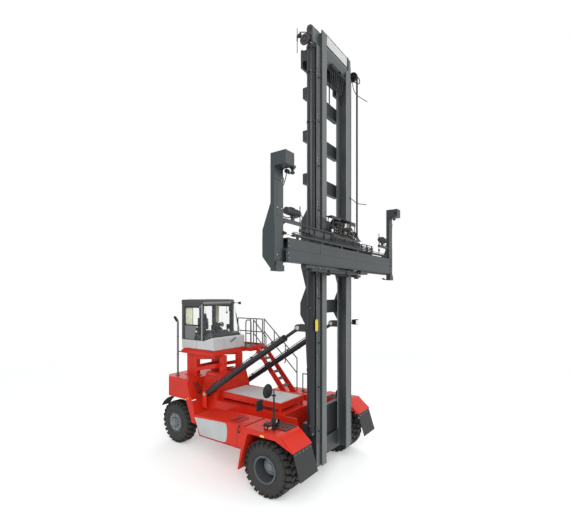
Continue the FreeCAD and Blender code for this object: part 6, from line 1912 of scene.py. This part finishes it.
makeCabShell()
makeCabInside()
makeSeat()
makeDoor()
makeMirrors()
makeLamps()
makeExhaust()
print("cab, seat, mirrors and lamps detailed")


view = {
    "place": (-9.147, -7.593, 4.945),
    "heading": 35.677,      # degrees from +X towards +Y
    "lens": 23.74,
    "shift": 0.0515,
}


stage = {
    "level": -0.002,
    "size": 400,
    # the floor's diffuse colour leans to cyan: a painted counter-tint against the red light that the body
    # throws on the floor
    "floor": (0.93, 0.965, 0.965),
    "lift": 5.4,            # glow mixed into the near floor, and its share
    "liftShare": 0.06,
    "farFrom": 7.0,         # distances over which the floor goes over into the white background
    "farTo": 24.0,
    "sky": 0.62,
    "lamps": [("key", (-14, -9, 13), 9, 1500), ("fill", (6, -16, 9), 10, 700),
              ("back", (10, 12, 14), 10, 500)],
}


def plainRays(tree):
    # 1 for rays from the camera and for those that gloss or glass passes on
    rays = tree.nodes.new("ShaderNodeLightPath").outputs
    seen = rays["Is Camera Ray"]
    for ray in ("Is Glossy Ray", "Is Transmission Ray"):
        either = tree.nodes.new("ShaderNodeMath")
        either.operation = "MAXIMUM"
        tree.links.new(seen, either.inputs[0])
        tree.links.new(rays[ray], either.inputs[1])
        seen = either.outputs[0]
    return seen


def makeStage():
    bpy.ops.object.select_all(action="DESELECT")
    bpy.ops.mesh.primitive_plane_add(size=stage["size"], location=(0, 0, stage["level"]))
    floor = settle(bpy.context.object)
    floor.name = "floor"
    paint = Paint("pale_floor")
    seen = Signal(paint, plainRays(paint.tree))
    shaded = paint.node("ShaderNodeBsdfDiffuse", None, {"Color": stage["floor"]})
    lift = paint.node("ShaderNodeEmission", None, {"Color": (1.0, 1.0, 1.0), "Strength": stage["lift"]})
    white = paint.node("ShaderNodeEmission", None, {"Color": (1.0, 1.0, 1.0), "Strength": 1.0})
    x, y = paint.axes()[:2]
    far = paint.ramp((x * x + y * y) ** 0.5, stage["farFrom"], stage["farTo"])
    near = paint.node("ShaderNodeMixShader", None, {0: seen * stage["liftShare"], 1: shaded, 2: lift})
    blend = paint.node("ShaderNodeMixShader", None, {0: seen * far, 1: near, 2: white})
    paint.tree.links.new(blend.socket, paint.output.inputs[0])
    floor.data.materials.append(paint.material)

    world = bpy.data.worlds.new("studio")
    bpy.context.scene.world = world
    world.use_nodes = True
    tree = world.node_tree
    tree.nodes.clear()
    output = tree.nodes.new("ShaderNodeOutputWorld")
    choose = tree.nodes.new("ShaderNodeMixShader")
    tree.links.new(plainRays(tree), choose.inputs[0])
    for socket, strength in ((1, stage["sky"]), (2, 1.0)):
        light = tree.nodes.new("ShaderNodeBackground")
        light.inputs[0].default_value = (1, 1, 1, 1)
        light.inputs[1].default_value = strength
        tree.links.new(light.outputs[0], choose.inputs[socket])
    tree.links.new(choose.outputs[0], output.inputs[0])

    for name, place, size, power in stage["lamps"]:
        lamp = bpy.data.lights.new(name, "AREA")
        lamp.size = size
        lamp.energy = power
        holder = bpy.data.objects.new(name, lamp)
        holder.location = place
        holder.rotation_euler = (Vector(place) - Vector((0, 0, 3))).to_track_quat("Z", "Y").to_euler()
        bpy.context.scene.collection.objects.link(holder)


def makeCamera():
    camera = bpy.data.cameras.new("camera")
    camera.sensor_width = 36
    camera.lens = view["lens"]
    camera.shift_y = view["shift"]
    camera.clip_end = 500
    holder = bpy.data.objects.new("camera", camera)
    holder.location = view["place"]
    holder.rotation_euler = (math.radians(90), 0, math.radians(view["heading"] - 90))
    bpy.context.scene.collection.objects.link(holder)
    bpy.context.scene.camera = holder


makeStage()
makeCamera()
bpy.context.scene.view_settings.view_transform = "Standard"
print("stage and camera set")
